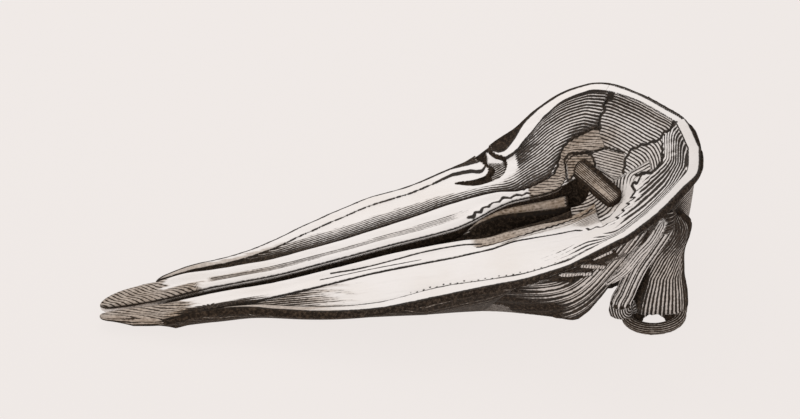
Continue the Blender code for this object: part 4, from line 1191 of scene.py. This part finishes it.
def across_route(centres, side=1.0):
    """Two directions across a route at each of its points."""
    along = np.gradient(centres, axis=0)
    along /= np.linalg.norm(along, axis=1, keepdims=True)
    first = np.cross(along, np.array((0.0, side, 0.35)))
    first /= np.linalg.norm(first, axis=1, keepdims=True)
    return first, np.cross(along, first)


def tube_rings(rows, side, count):
    """Round sections along a route: run, half breadth, height, thickness."""
    centres = rows[:, :3] * (1.0, side, 1.0)
    first, second = across_route(centres, side)
    turn = np.linspace(0, 2 * np.pi, count, endpoint=False)[None, :, None]
    ring = first[:, None] * np.cos(turn) + second[:, None] * np.sin(turn)
    return centres[:, None] + ring * rows[:, 3][:, None, None]


def braincase_outline(step):
    """The outline from above: run, y, height, and how far the wall is set in there."""
    run = np.arange(BRAINCASE_FRONT, SKULL_LENGTH, step)
    bare = ease(4.36, 4.44, run) * (1 - ease(4.93, 4.97, run))
    side = columns(run, read(MARGIN, 1, run), read(MARGIN, 2, run), UNDER_PLATE * (1 - bare))
    back = MARGIN_LINES[1.0]
    back = back[(back[:, 0] > run[-1] + 0.003) & (back[:, 1] > 0.02)]
    far = np.concatenate((side, np.insert(back, 3, UNDER_PLATE, axis=1)))
    near = far[::-1] * (1, -1, 1, 0) + (0, 0, 0, UNDER_PLATE)
    y = np.arange(-0.86, 0.87, step)
    start = np.full(y.shape, BRAINCASE_FRONT)
    return np.concatenate((far, near, columns(start, y, bowl_height(start, y), 0 * y)))


def core_shell(step):
    """The fused braincase without its limbs: basin, crest, outer wall and floor."""
    outline = braincase_outline(step)
    centre = np.array(BASIN_CENTRE)
    reach = outline[:, :2] - centre
    height, inset = outline[:, 2:].T
    rim_reach = reach * (1 - inset / np.linalg.norm(reach, axis=1))[:, None]
    back = ease(0.45, 0.85, reach[:, 0])
    rings = []
    for share in np.linspace(0.06, 0.97, 24):
        spot = (centre + reach * share).T
        rings.append(columns(*spot, bowl_height(*spot)))
    low_edge = np.where(inset > 0.001, height - 0.02, height)
    rings.append(columns(*(centre + rim_reach).T, low_edge))
    drops = np.linspace(0.04, 1.0, 16)
    for drop, across, behind in zip(drops, read(OUTER_WALL, 1, drops), read(OUTER_WALL, 2, drops)):
        along = np.where(reach[:, 0] > 0, behind, 1.0)
        spot = centre + rim_reach * columns(along, mix(across, 0.97, back))
        rings.append(columns(*spot.T, mix(height, WALL_FOOT, drop)))
    return loft("core_shell", np.array(rings))


def column_shell(side):
    heights = np.linspace(COLUMN[0][0], COLUMN[-1][0], 40)[:, None]
    run, breadth, half_long, half_deep = (read(COLUMN, i, heights) for i in range(1, 5))
    turn = np.linspace(0, 2 * np.pi, 48, endpoint=False)
    y = side * (breadth + half_deep * np.sin(turn))
    return loft("column_shell", columns(run + half_long * np.cos(turn), y, heights + 0 * y))


def flange_shell(side):
    run, top_y, top_z, foot_y, foot_z = smooth_rows(FLANGE, 0.02).T
    inner_y = foot_y - FLANGE_THICKNESS
    outline = (
        (mix(inner_y, top_y, 0.5), top_z + 0.02),
        (top_y - 0.15, top_z + 0.06),
        (top_y, top_z),
        (mix(top_y, foot_y, 0.45) + 0.015, mix(top_z, foot_z, 0.45)),
        (foot_y + 0.02, foot_z + 0.05),
        (foot_y - 0.03, foot_z),
        (inner_y, foot_z + 0.06),
        (inner_y, top_z - 0.02),
        (mix(inner_y, top_y, 0.5), top_z + 0.02),
    )
    return loft("flange_shell", rounded(sections(run, outline, side), 2)[:, :-1])


def ridge_shell(side):
    run, breadth, low = smooth_rows(PTERYGOID_RIDGE, 0.03).T
    outline = (
        (breadth, low + 0.4),
        (breadth + 0.11, low * 0 + RIDGE_TOP),
        (breadth + 0.06, low + 0.05),
        (breadth, low),
        (breadth - 0.06, low + 0.05),
        (breadth - 0.11, low * 0 + RIDGE_TOP),
        (breadth, low + 0.4),
    )
    return loft("ridge_shell", rounded(sections(run, outline, side), 2)[:, :-1])


def ball_shell(name, centre, radii):
    ball = bmesh.new()
    bmesh.ops.create_uvsphere(ball, u_segments=40, v_segments=24, radius=1.0)
    bmesh.ops.scale(ball, vec=radii, verts=ball.verts)
    bmesh.ops.translate(ball, vec=place(centre), verts=ball.verts)
    mesh = bpy.data.meshes.new(name)
    ball.to_mesh(mesh)
    ball.free()
    return linked(name, mesh)


def ring_shell(side):
    turn = np.linspace(0, 2 * np.pi, 96, endpoint=False)
    tube = np.linspace(0, 2 * np.pi, 24, endpoint=False)
    out = RING_ALONG + RING_BAR * np.cos(tube)
    points = np.zeros((96, 24, 3))
    points[..., 0] = FOOT_RUN + np.cos(turn)[:, None] * out
    points[..., 1] = side * FOOT_BREADTH + np.sin(turn)[:, None] * out * RING_ACROSS / RING_ALONG
    points[..., 2] = np.maximum(RING_HEIGHT + RING_BAR * np.sin(tube), 0.0)
    i = np.arange(96)[:, None]
    j = np.arange(24)[None, :]
    near = i * 24 + j
    after = i * 24 + (j + 1) % 24
    beyond = (i + 1) % 96 * 24
    quads = np.stack((near, after, beyond + (j + 1) % 24, beyond + j), axis=-1).reshape(-1, 4)
    body = mesh_from("ring_shell", place(points.reshape(-1, 3)), [quads])
    face_out(body)
    return body


def recess_bar_route(run):
    rows = []
    for shift in (-0.5, -0.25, 0.0, 0.25, 0.5):
        climb = shift * RECESS_BAR_SLANT
        breadth = float(read(RECESS, 1, run + climb)) + climb * 0.6
        height = float(read(RECESS, 2, run)) + climb * 1.2
        rows.append((run + climb, breadth, height, RECESS_BAR_THICKNESS))
    return rows


def recess_bar_shell(run, side):
    return loft("bar_shell", tube_rings(np.array(recess_bar_route(run)), side, 12))


def route_shell(name, table, side, step=0.02):
    return loft(name, tube_rings(smooth_rows(table, step, (0, 1, 2)), side, 32))


def gutter_hollow():
    """What the groove takes out of the braincase."""
    rows = smooth_rows(GUTTER, 0.03)
    run, left, left_lip, right_lip, right, depth = rows[rows[:, 0] > BRAINCASE_FRONT - 0.1].T
    middle = (left_lip + right_lip) / 2
    high = bowl_height(run, middle)
    deep = high - depth - 0.05
    outline = (
        (left, high - 0.15),
        (left, high + 0.25),
        (right, high + 0.25),
        (right, high - 0.15),
        (mix(right_lip, middle, 0.35) + 0.02, deep),
        (mix(left_lip, middle, 0.35) - 0.02, deep),
    )
    return loft("gutter_hollow", sections(run, outline))


def joined(name, bodies):
    """One mesh that holds the shells of several, which are removed."""
    whole = bmesh.new()
    for body in bodies:
        whole.from_mesh(body.data)
        bpy.data.objects.remove(body, do_unlink=True)
    mesh = bpy.data.meshes.new(name)
    whole.to_mesh(mesh)
    whole.free()
    return linked(name, mesh)


def applied(body):
    graph = bpy.context.evaluated_depsgraph_get()
    graph.update()
    mesh = bpy.data.meshes.new_from_object(body.evaluated_get(graph))
    body.modifiers.clear()
    body.data = mesh
    return body


def skinned(body, size):
    """One even skin round everything that the shells enclose."""
    skin = body.modifiers.new("skin", "REMESH")
    skin.mode = "VOXEL"
    skin.voxel_size = size
    skin.adaptivity = 0.0
    return applied(body)


def braincase_shell(size):
    shells = [core_shell(0.04)]
    for side in (1.0, -1.0):
        shells += [
            column_shell(side),
            route_shell("strut_shell", STRUT, side),
            route_shell("thin_strut_shell", THIN_STRUT, side),
            ring_shell(side),
            flange_shell(side),
            ridge_shell(side),
            ball_shell("condyle_shell", (CONDYLE_RUN, side * CONDYLE_BREADTH, CONDYLE_HEIGHT),
                       CONDYLE_RADII),
        ]
    body = skinned(joined("braincase_bone", shells), size)
    hollows = [route_shell("naris_hollow", NARIS, 1.0), gutter_hollow()]
    hollows.append(ball_shell("foramen_hollow", (FORAMEN_RUN, 0.0, FORAMEN_HEIGHT), FORAMEN_RADII))
    for side in (1.0, -1.0):
        hollows.append(route_shell("recess_hollow", RECESS, side))
        hollows.append(ball_shell("foot_hollow", (FOOT_RUN, side * FOOT_BREADTH, FOOT_HOLE_HEIGHT),
                                  FOOT_HOLE))
    for hollow in hollows:
        cut = body.modifiers.new("cut", "BOOLEAN")
        cut.operation = "DIFFERENCE"
        cut.object = hollow
        cut.solver = "MANIFOLD"
    applied(body)
    for hollow in hollows:
        bpy.data.objects.remove(hollow, do_unlink=True)
    bars = [recess_bar_shell(run, side) for run in RECESS_BAR_RUNS for side in (1.0, -1.0)]
    return skinned(joined("braincase_bone", [body] + bars), size)


def vectors_of(collection, name):
    """The three numbers that each item of a mesh's collection holds under a name."""
    values = np.zeros(len(collection) * 3, np.float32)
    collection.foreach_get(name, values)
    return values.reshape(-1, 3).astype(float)


def moved_to(body, points):
    body.data.vertices.foreach_set("co", points.astype(np.float32).ravel())
    body.data.update()


def relaxed(body, times, share=0.5):
    """Moves every vertex some way towards the middle of those it is joined to."""
    points = vectors_of(body.data.vertices, "co")
    ends = np.zeros(len(body.data.edges) * 2, np.int32)
    body.data.edges.foreach_get("vertices", ends)
    ends = ends.reshape(-1, 2)
    count = np.bincount(ends.ravel(), minlength=len(points)).astype(float)
    for k in range(times):
        total = np.zeros_like(points)
        for axis in range(3):
            for here, there in ((0, 1), (1, 0)):
                total[:, axis] += np.bincount(ends[:, here], points[ends[:, there], axis], len(points))
        push = share if k % 2 == 0 else -share * 1.04
        points += (total / np.maximum(count, 1)[:, None] - points) * push
    moved_to(body, points)
    return points


def inside_of(run, y, outline):
    """Whether each place lies inside a closed outline, from above."""
    inside = np.zeros(run.shape, bool)
    for (x0, y0), (x1, y1) in zip(outline, np.roll(outline, -1, axis=0)):
        crosses = (y0 > y) != (y1 > y)
        if y0 != y1:
            at = x0 + (y - y0) * (x1 - x0) / (y1 - y0)
            inside ^= crosses & (run < at)
    return inside


def signed_depth(run, y, outline):
    """How far inside a closed outline each place lies, less than nothing outside it."""
    gap, _ = nearest(columns(run, y), (*outline, outline[0]))
    return np.where(inside_of(run, y, outline), gap, -gap)


def covered_depth(run, y):
    """How far inside the outline of an upper jaw bone each place lies, as a signed distance."""
    depths = []
    for table in (RIGHT_MAXILLA, LEFT_MAXILLA, RIGHT_PREMAXILLA, LEFT_PREMAXILLA):
        rows = smooth_rows(table, 0.05)
        depths.append(signed_depth(run, y, np.concatenate((rows[:, :2], rows[::-1, 2:]))))
    return np.maximum.reduce(depths)


def beside_route(spots, table, step=0.02):
    """Distance from a round limb's middle line over its thickness, and the turn about that line."""
    rows = smooth_rows(table, step, (0, 1, 2))
    centres = rows[:, :3]
    best = np.full(len(spots), np.inf)
    ratio = np.zeros(len(spots))
    turn = np.zeros(len(spots))
    for centre, a, b, thick in zip(centres, *across_route(centres), rows[:, 3]):
        away = spots - centre
        gap = (away ** 2).sum(1)
        closer = gap < best
        best[closer] = gap[closer]
        ratio[closer] = np.sqrt(gap[closer]) / thick
        turn[closer] = np.arctan2(away[closer] @ b, away[closer] @ a)
    return ratio, turn


# free edge of the flange and of the wall above it, seen from beside and above: run, lift
FLANGE_TOP_EDGE = ((4.37, 0.20), (4.45, 0.34))
FLANGE_LINE_SPACING = 0.0225
# tone of the flange's painted shade and how far its painted highlight lies from its edge, both along the
# run
FLANGE_SHADE = ((3.00, 0.90), (3.50, 0.88), (3.85, 0.76), (4.10, 0.74), (4.45, 0.78))
FLANGE_SWEEP = 8.0
FLANGE_LIGHT = ((3.00, 0.20), (3.60, 0.24), (3.95, 0.21), (4.20, 0.13), (4.45, 0.12))

# the shaded recess below the margin and the ribs that cross it: run, lift
RECESS_RIB_HALF = 0.014
RECESS_SHADE = ((3.50, 0.040), (3.70, 0.075), (3.89, 0.20), (4.07, 0.27), (4.156, 0.178), (4.00, 0.084),
                (3.93, 0.016), (3.68, 0.012))
RECESS_RIBS = (
    ((3.945, 0.170), (4.085, 0.217)),
    ((3.849, 0.122), (4.073, 0.092)),
    ((3.690, 0.062), (3.960, 0.044)),
)


def flange_finish(run, lift):
    """Fan of lines, tone with painted shade and highlight, and relief of the flange, from the run and how
    far up a place is seen.
    """
    foot = [(row[0], lifted(-row[3], row[4])) for row in FLANGE]
    gap, along = nearest(columns(run, lift), smooth_rows((*foot, *FLANGE_TOP_EDGE), 0.02))
    above = (lift + 0.21 + 0.177 * (run - 3.02)) * 0.985
    ahead = ((lift + 0.36) * 0.55 - (run - 3.90) * 0.70) / 0.89
    sweep = -np.log(np.exp(-above * FLANGE_SWEEP) + np.exp(-ahead * FLANGE_SWEEP)) / FLANGE_SWEEP
    # painted highlight across the middle of the flange
    light = np.exp(-((gap - read(FLANGE_LIGHT, 1, run)) / 0.065) ** 2) * ease(3.35, 3.65, run)
    streaks = wander(sweep * 50, along * 5)
    tone = read(FLANGE_SHADE, 1, run) - light * (0.28 + 0.18 * streaks) + 0.10 * streaks
    # painted shade along the free edge, low at the front and in the fold under the recess
    tone += 0.65 * ease(0.045, 0.010, gap) + 0.35 * ease(3.85, 3.65, run) * ease(0.16, 0.08, gap)
    tone += 0.60 * ease(0.30, 0.345, gap) * ease(4.05, 3.95, run)
    relief = 0.008 * np.cos(sweep * 2 * np.pi / (FLANGE_LINE_SPACING * 3))
    return sweep / FLANGE_LINE_SPACING, np.clip(tone, 0.12, EDGE_SHADE_TONE), relief


def column_finish(run, breadth, z):
    """Which places lie on the column, and lines round it, tone, warmth and relief there."""
    centre_run, centre_breadth, half_long, half_deep = (read(COLUMN, i, z) for i in range(1, 5))
    ahead = (run - centre_run) / half_long
    out = (breadth - centre_breadth) / half_deep
    near = (np.abs(np.hypot(ahead, out) - 1) < 0.25) & (z > 0.075) & (z < 1.10) & (run > 4.30)
    turn = np.arctan2(ahead[near], out[near])
    height = z[near]
    # painted shade on the sides that turn away, behind and in front, and darker up high
    tone = 0.60 + 0.42 * ease(0.85, 1.15, turn) + 0.40 * ease(-0.55, -1.05, turn)
    tone += 0.24 * ease(0.60, 0.90, height) + 0.10 * wander(turn * 9, height * 4)
    phase = turn * 42 / (2 * np.pi) - np.maximum(height - 0.45, 0.0) * 14
    warm = 0.45 + 0.4 * ease(0.85, 1.15, turn)
    return near, phase, tone, warm, 0.003 * np.cos(turn * 18)


def lower_finish(run, breadth, z, facing):
    """Grain, tone with its painted shade, warmth and relief of everything below the margin, the same on
    both sides.
    """
    fields = {
        "phase": (read(MARGIN, 2, run) - z) / LINE_SPACING,
        # painted shade over the outer walls, a little less on faces turned down, and less at the back
        "tone": np.where(facing[:, 2] < -0.5, 0.75, mix(0.86, 0.60, ease(4.72, 4.82, run))),
        "warm": np.full(len(run), 0.5),
        "relief": np.zeros(len(run)),
    }

    def paint(where, **values):
        for name, value in values.items():
            fields[name][where] = value

    spots = columns(run, breadth, z)
    lift = lifted(-breadth, z)
    outward = facing[:, 1] > 0.05
    flange = outward & (run < 4.42) & (breadth > 0.33) & (z < 1.15) & (facing[:, 2] > -0.6)
    phase, tone, relief = flange_finish(run[flange], lift[flange])
    paint(flange, phase=phase, tone=tone, warm=0.35, relief=relief)

    # painted shade in the recess below the margin; its bars and ribs are left light
    ratio, _ = beside_route(spots, RECESS)
    paint(ratio < 1.15, tone=RECESS_SHADE_TONE, warm=0.6, relief=0.0)
    for at in RECESS_BAR_RUNS:
        ratio, _ = beside_route(spots, recess_bar_route(at), 0.01)
        bar = ratio < 1.7
        paint(bar, phase=(z[bar] + 0.5 * run[bar]) / 0.016, tone=0.26, warm=0.10)
    paint(outward & inside_of(run, lift, RECESS_SHADE), tone=RECESS_SHADE_TONE, relief=0.0)
    for rib_line in RECESS_RIBS:
        gap, along = nearest(columns(run, lift), rib_line)
        rib = outward & (gap < RECESS_RIB_HALF)
        paint(rib, phase=along[rib] / 0.024, tone=0.36, relief=0.010)
        paint(outward & (gap >= RECESS_RIB_HALF) & (gap < RECESS_RIB_HALF + 0.010), tone=RECESS_SHADE_TONE)

    column, phase, tone, warm, relief = column_finish(run, breadth, z)
    paint(column, phase=phase, tone=tone, warm=warm, relief=relief)
    ratio, turn = beside_route(spots, THIN_STRUT)
    thin = ratio < 1.5
    paint(thin, phase=turn[thin] * 10 / (2 * np.pi), tone=0.42, warm=0.2)
    ratio, turn = beside_route(spots, STRUT)
    strut = (ratio < 1.35) & (z < 1.05)
    ribs = np.cos(turn[strut] * 10)
    # painted light on the crests of the strut's ribs, painted shade between them and a line of painted
    # shade above the hook
    tone = 0.48 - 0.30 * ribs + 0.55 * ease(0.025, 0.0, np.abs(z[strut] - 0.225))
    paint(strut, phase=turn[strut] * 20 / (2 * np.pi), tone=tone, warm=0.25, relief=0.007 * ribs)
    hook = (ratio < 1.35) & (z < 0.215)
    paint(hook, phase=np.hypot(run[hook] - 4.33, z[hook] - 0.20) / 0.020, tone=0.72, relief=0.0)

    ahead = (run - FOOT_RUN) / RING_ALONG
    out = (breadth - FOOT_BREADTH) / RING_ACROSS
    off = (np.hypot(ahead, out) - 1) * (RING_ALONG + RING_ACROSS) / 2
    ring = (np.abs(off) < 0.085) & (z < 0.10)
    tube = np.arctan2(z[ring] - RING_HEIGHT, off[ring])
    # painted shade on the inside of the ring
    tone = 0.74 + 0.5 * ease(-0.005, -0.030, off[ring])
    paint(ring, phase=tube * 18 / (2 * np.pi), tone=tone, warm=0.75, relief=0.0)
    return fields.values()


def basin_finish(run, y, gap, band):
    """Grain, tone with its painted shade, and warmth of the braincase's own share of the basin."""
    far = ease(-0.1, 0.2, y)
    lines = basin_share(run, y) * 49 - STEP_LINES * far * step_share(gap, band)
    beyond_shade = gap - read(FAR_SHADE, 1, run)
    # painted shade on the basin's walls, darker by the margin and on the far wall, lighter by the left
    # suture
    wall = 0.52 + 0.10 * np.exp(-np.maximum(gap - band, 0) / 0.07)
    wall += 0.14 * far * ease(0.07, -0.05, beyond_shade) * ease(4.75, 4.45, run)
    suture = smooth_rows(LEFT_MAXILLA, 0.03)[:, 2:]
    near, _ = nearest(columns(run, y), suture[suture[:, 0] > 3.95])
    wall *= mix(1.0, ease(0.02, 0.17, near), ease(0.20, 0.05, y) * ease(4.62, 4.50, run))
    level = picture_level(run, y)
    low_line = columns(suture[:, 0], lifted(suture[:, 1], bowl_height(*suture.T)))
    sweep, _ = nearest(columns(run, lifted(y, bowl_height(run, y))), low_line)
    lines = np.where((y < 0.20) & (run > 3.85) & (run < 4.60), sweep / LINE_SPACING, lines)
    lobe = inside_of(run, y, LOBE)
    beyond = np.exp(-(((run - 4.25) / 0.16) ** 2 + ((y - 0.56) / 0.10) ** 2))
    panel = inside_of(run, y, PANEL)
    lines = np.where(lobe, level / LINE_SPACING, lines)
    lines = np.where(panel, (level + 0.30 * run) / LINE_SPACING, lines)
    wall = np.where(lobe, 0.42, np.where(panel, 0.46, wall))
    warm = 0.20 + 0.65 * beyond + 0.30 * far * ease(0.05, -0.03, beyond_shade)
    low = ease(0.34, 0.22, np.hypot(run - 4.10, y - 0.10))
    return lines, wall, np.maximum.reduce((warm, lobe * 0.95, panel * 0.55, low * 0.55))


def build_braincase(size):
    body = braincase_shell(size)
    points = relaxed(body, 6)
    normals = vectors_of(body.data.vertex_normals, "vector")
    run = points[:, 0] + HALF_LENGTH
    y = points[:, 1]
    z = points[:, 2]
    height = bowl_height(run, y)
    on_top = (np.abs(z - height) < 0.05) & (normals[:, 2] > 0.25) & (run > BRAINCASE_FRONT + 0.02)
    facing = normals.copy()
    facing[:, 1] *= np.where(y < 0, -1.0, 1.0)
    phase, tone, warm, relief = lower_finish(run, np.abs(y), z, facing)
    points += normals * (relief * ~on_top)[:, None]
    # painted shade down the blowhole's passage
    ratio, _ = beside_route(points + (HALF_LENGTH, 0, 0), NARIS)
    pit = (ratio < 1.2) & ~on_top & (z > 0.2)
    phase[pit] = (run[pit] + y[pit]) / 0.020
    tone[pit] = 1.08
    warm[pit] = 0.4

    depth = covered_depth(run, y)
    under = ~on_top & (depth > 0.004) & (run > BRAINCASE_FRONT - 0.05) & (z > height - 0.12)
    points[under, 2] = np.minimum(z[under], height[under] - RIM_STEP - 0.045)

    top_run = run[on_top]
    top_y = y[on_top]
    gap, rim_height = rim_distance(top_run, top_y)
    sutures = seam_distance(top_run, top_y)
    exact = top_surface(top_run, top_y, gap, rim_height)
    exact -= 0.030 * ease(-0.002, 0.016, depth[on_top]) + 0.007 * (1 - ease(0.0, 0.014, sutures))
    points[on_top, 2] = exact + 0.002 * wander(top_run * 15, top_y * 22)
    band = band_width(top_run, top_y)
    phase[on_top], wall, glow = basin_finish(top_run, top_y, gap, band)
    bare = off_band(gap, band)
    edge = mix(RIM_ROUND, 0.014, ease(4.45, 4.65, top_run) * ease(0.5, 0.2, top_y))
    edge += 0.011 * ease(0.0, 0.4, top_y)
    # painted shade on the basin's walls and on the margin's rounded edge, kept off the raised band; the
    # warmth here is the brown of that shade and of the tan patches
    tone[on_top] = np.maximum(wall * bare, on_edge(gap, edge) * EDGE_SHADE_TONE)
    warm[on_top] = glow * bare
    fine_line = 2.4 * np.abs(gap - band)
    broad_line = np.abs(gap - band - 0.008)
    inner_line = np.where((top_y > 0) | (top_run > 4.55), fine_line, broad_line)
    seam = np.full(len(run), NO_LINE)
    seam[on_top] = np.minimum.reduce((sutures, inner_line, np.abs(gap - edge)))
    moved_to(body, keep_in_box(points))
    shade(body, {"phase": phase, "tone": tone, "warm": warm, "seam": seam})
    return body


class SkullSizes(bpy.types.PropertyGroup):
    """How finely the bones are made."""

    row_step: FloatProperty(
        name="Row step", description="Distance between the sections of a long bone",
        default=0.0085, min=0.003, max=0.1, unit="LENGTH")
    skin_size: FloatProperty(
        name="Skin size", description="Size of the faces of the braincase",
        default=0.0141, min=0.006, max=0.05, unit="LENGTH")


class SkullColours(bpy.types.PropertyGroup):
    """Colours of the bone, of its painted shade and of the ink in its lines."""

    paper: FloatVectorProperty(
        name="Pale bone", description="Clean, bleached bone",
        default=(0.86, 0.815, 0.79), size=3, min=0, max=1, subtype="COLOR")
    ivory: FloatVectorProperty(
        name="Ivory bone", description="Slightly yellowed bone",
        default=(0.83, 0.775, 0.735), size=3, min=0, max=1, subtype="COLOR")
    # tan and umber make the brown ground of painted shade on walls and in hollows, and of the tan patches
    tan: FloatVectorProperty(
        name="Tan bone", description="Weathered bone in hollows",
        default=(0.44, 0.350, 0.275), size=3, min=0, max=1, subtype="COLOR")
    umber: FloatVectorProperty(
        name="Umber bone", description="Darkest weathered bone",
        default=(0.23, 0.165, 0.115), size=3, min=0, max=1, subtype="COLOR")
    # bistre is the ground where the painted shade is darkest
    bistre: FloatVectorProperty(
        name="Bistre bone", description="Bone between the stained lines where it is darkest",
        default=(0.125, 0.085, 0.057), size=3, min=0, max=1, subtype="COLOR")
    # ink: the dark of the hatch lines that paint shade, and of the seams
    ink: FloatVectorProperty(
        name="Stain", description="Dark stain in the cut lines",
        default=(0.011, 0.007, 0.0045), size=3, min=0, max=1, subtype="COLOR")
    sepia: FloatVectorProperty(
        name="Worn stain", description="Brown of the stain where it is worn",
        default=(0.040, 0.025, 0.015), size=3, min=0, max=1, subtype="COLOR")


class SkullSettings(bpy.types.PropertyGroup):
    """Everything a user may change."""

    sizes: PointerProperty(name="Sizes", description="Sizes of the fine bones", type=SkullSizes)
    colours: PointerProperty(name="Colours", description="Colours of the bone", type=SkullColours)


def finish_piece(context, body, node, slot):
    """Gives a fine bone its engraved material, with painted shade in its lines, and puts it in its plain
    solid's place.
    """
    name = slot.replace("_bone", "_engraved_bone")
    colours = context.scene.skull.colours
    material = bpy.data.materials.get(name) or engraved_bone(name, colours, ROUGHNESS[slot])
    body.data.materials.append(material)
    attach(body, "root")
    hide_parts(node)


class SKULL_OT_maxillae(bpy.types.Operator):
    """Builds the two upper jaw bones"""

    bl_idname = "skull.maxillae"
    bl_label = "Maxillae"

    def execute(self, context):
        step = context.scene.skull.sizes.row_step
        finish_piece(context, build_right_maxilla(step), "right_maxilla", "pale_bone")
        finish_piece(context, build_left_maxilla(step), "left_maxilla", "pale_bone")
        return {"FINISHED"}


class SKULL_OT_premaxillae(bpy.types.Operator):
    """Builds the two long bones beside the middle groove"""

    bl_idname = "skull.premaxillae"
    bl_label = "Premaxillae"

    def execute(self, context):
        step = context.scene.skull.sizes.row_step
        right = build_premaxilla("right_premaxilla_bone", RIGHT_PREMAXILLA, step, right_premaxilla_finish)
        finish_piece(context, right, "right_premaxilla", "pale_bone")
        left = build_premaxilla("left_premaxilla_bone", LEFT_PREMAXILLA, step, left_premaxilla_finish)
        finish_piece(context, left, "left_premaxilla", "pale_bone")
        return {"FINISHED"}


class SKULL_OT_vomer(bpy.types.Operator):
    """Builds the gutter-shaped bone in the middle groove"""

    bl_idname = "skull.vomer"
    bl_label = "Vomer"

    def execute(self, context):
        finish_piece(context, build_vomer(context.scene.skull.sizes.row_step), "vomer", "dark_bone")
        return {"FINISHED"}


class SKULL_OT_nasal_bone(bpy.types.Operator):
    """Builds the oblong bone behind the blowhole"""

    bl_idname = "skull.nasal_bone"
    bl_label = "Nasal bone"

    def execute(self, context):
        finish_piece(context, build_nasal_bone(), "nasal_bone", "warm_bone")
        return {"FINISHED"}


class SKULL_OT_braincase(bpy.types.Operator):
    """Builds the fused back of the skull with its columns and feet"""

    bl_idname = "skull.braincase"
    bl_label = "Braincase"

    def execute(self, context):
        body = build_braincase(context.scene.skull.sizes.skin_size)
        finish_piece(context, body, "braincase", "warm_bone")
        return {"FINISHED"}


CAMERA_AZIMUTH = math.radians(-8)
CAMERA_ELEVATION = math.radians(38)
CAMERA_DISTANCE = 90.0
PIXELS_PER_METRE = 122.0
IMAGE_WIDTH = 800
SENSOR_WIDTH = 36.0
LOOK_AT = (0.0, 0.0, 0.878)
FLOOR_SIZE = 70.0
FLOOR_COLOUR = (0.855, 0.807, 0.783)
FLOOR_ALBEDO = 0.06
FLOOR_GLOW = 0.955


class SKULL_OT_stage(bpy.types.Operator):
    """Makes the pale floor, the soft light and the camera"""

    bl_idname = "skull.stage"
    bl_label = "Stage"

    def execute(self, context):
        scene = context.scene
        corners = np.array(((-1, -1, 0), (1, -1, 0), (1, 1, 0), (-1, 1, 0)), float) * FLOOR_SIZE / 2
        floor = mesh_from("floor", corners - (0, 0, 0.0005), [np.array([[0, 1, 2, 3]])])
        floor.data.materials.append(plain_floor("pale_floor", FLOOR_COLOUR, FLOOR_GLOW))

        a, e = CAMERA_AZIMUTH, CAMERA_ELEVATION
        back = Vector((math.sin(a) * math.cos(e), -math.cos(a) * math.cos(e), math.sin(e)))
        lens = bpy.data.cameras.new("long_lens")
        lens.sensor_width = SENSOR_WIDTH
        lens.lens = PIXELS_PER_METRE * CAMERA_DISTANCE * SENSOR_WIDTH / IMAGE_WIDTH
        lens.clip_end = 400.0
        camera = bpy.data.objects.new("camera", lens)
        camera.location = Vector(LOOK_AT) + back * CAMERA_DISTANCE
        camera.rotation_mode = "QUATERNION"
        camera.rotation_quaternion = (-back).to_track_quat("-Z", "Y")
        scene.collection.objects.link(camera)
        scene.camera = camera

        lights = (("high_far_softbox", (-1.5, 5.0, 7.0), 7.0, 235.0),
                  ("near_fill", (-3.0, -7.0, 4.5), 6.0, 84.0))
        for name, spot, size, power in lights:
            lamp = bpy.data.lights.new(name, "AREA")
            lamp.size = size
            lamp.energy = power
            lamp_object = bpy.data.objects.new(name, lamp)
            lamp_object.location = spot
            aim = Vector((0.6, 0.0, 0.4)) - Vector(spot)
            lamp_object.rotation_mode = "QUATERNION"
            lamp_object.rotation_quaternion = aim.to_track_quat("-Z", "Y")
            scene.collection.objects.link(lamp_object)

        world = bpy.data.worlds.new("pale_room")
        world.use_nodes = True
        room = world.node_tree.nodes["Background"]
        room.inputs["Color"].default_value = (1.0, 0.985, 0.975, 1.0)
        room.inputs["Strength"].default_value = 0.745
        scene.world = world
        scene.view_settings.view_transform = "Standard"
        return {"FINISHED"}


class SKULL_PT_panel(bpy.types.Panel):
    """Lists the steps that build the skull"""

    bl_label = "Sperm whale skull"
    bl_idname = "SKULL_PT_panel"
    bl_space_type = "VIEW_3D"
    bl_region_type = "UI"
    bl_category = "Skull"

    def draw(self, context):
        settings = context.scene.skull
        for group in (settings.sizes, settings.colours):
            for name in group.__annotations__:
                self.layout.prop(group, name)
        for step in STEPS:
            self.layout.operator(step.bl_idname)


STEPS = (SKULL_OT_stage, SKULL_OT_maxillae, SKULL_OT_premaxillae, SKULL_OT_vomer, SKULL_OT_nasal_bone,
         SKULL_OT_braincase)
CLASSES = (SkullSizes, SkullColours, SkullSettings, *STEPS, SKULL_PT_panel)


def register():
    for kind in CLASSES:
        bpy.utils.register_class(kind)
    bpy.types.Scene.skull = PointerProperty(type=SkullSettings)


def unregister():
    del bpy.types.Scene.skull
    for kind in reversed(CLASSES):
        bpy.utils.unregister_class(kind)


def main():
    register()
    for step in STEPS:
        group, name = step.bl_idname.split(".")
        getattr(getattr(bpy.ops, group), name)()


if __name__ == "__main__":
    main()
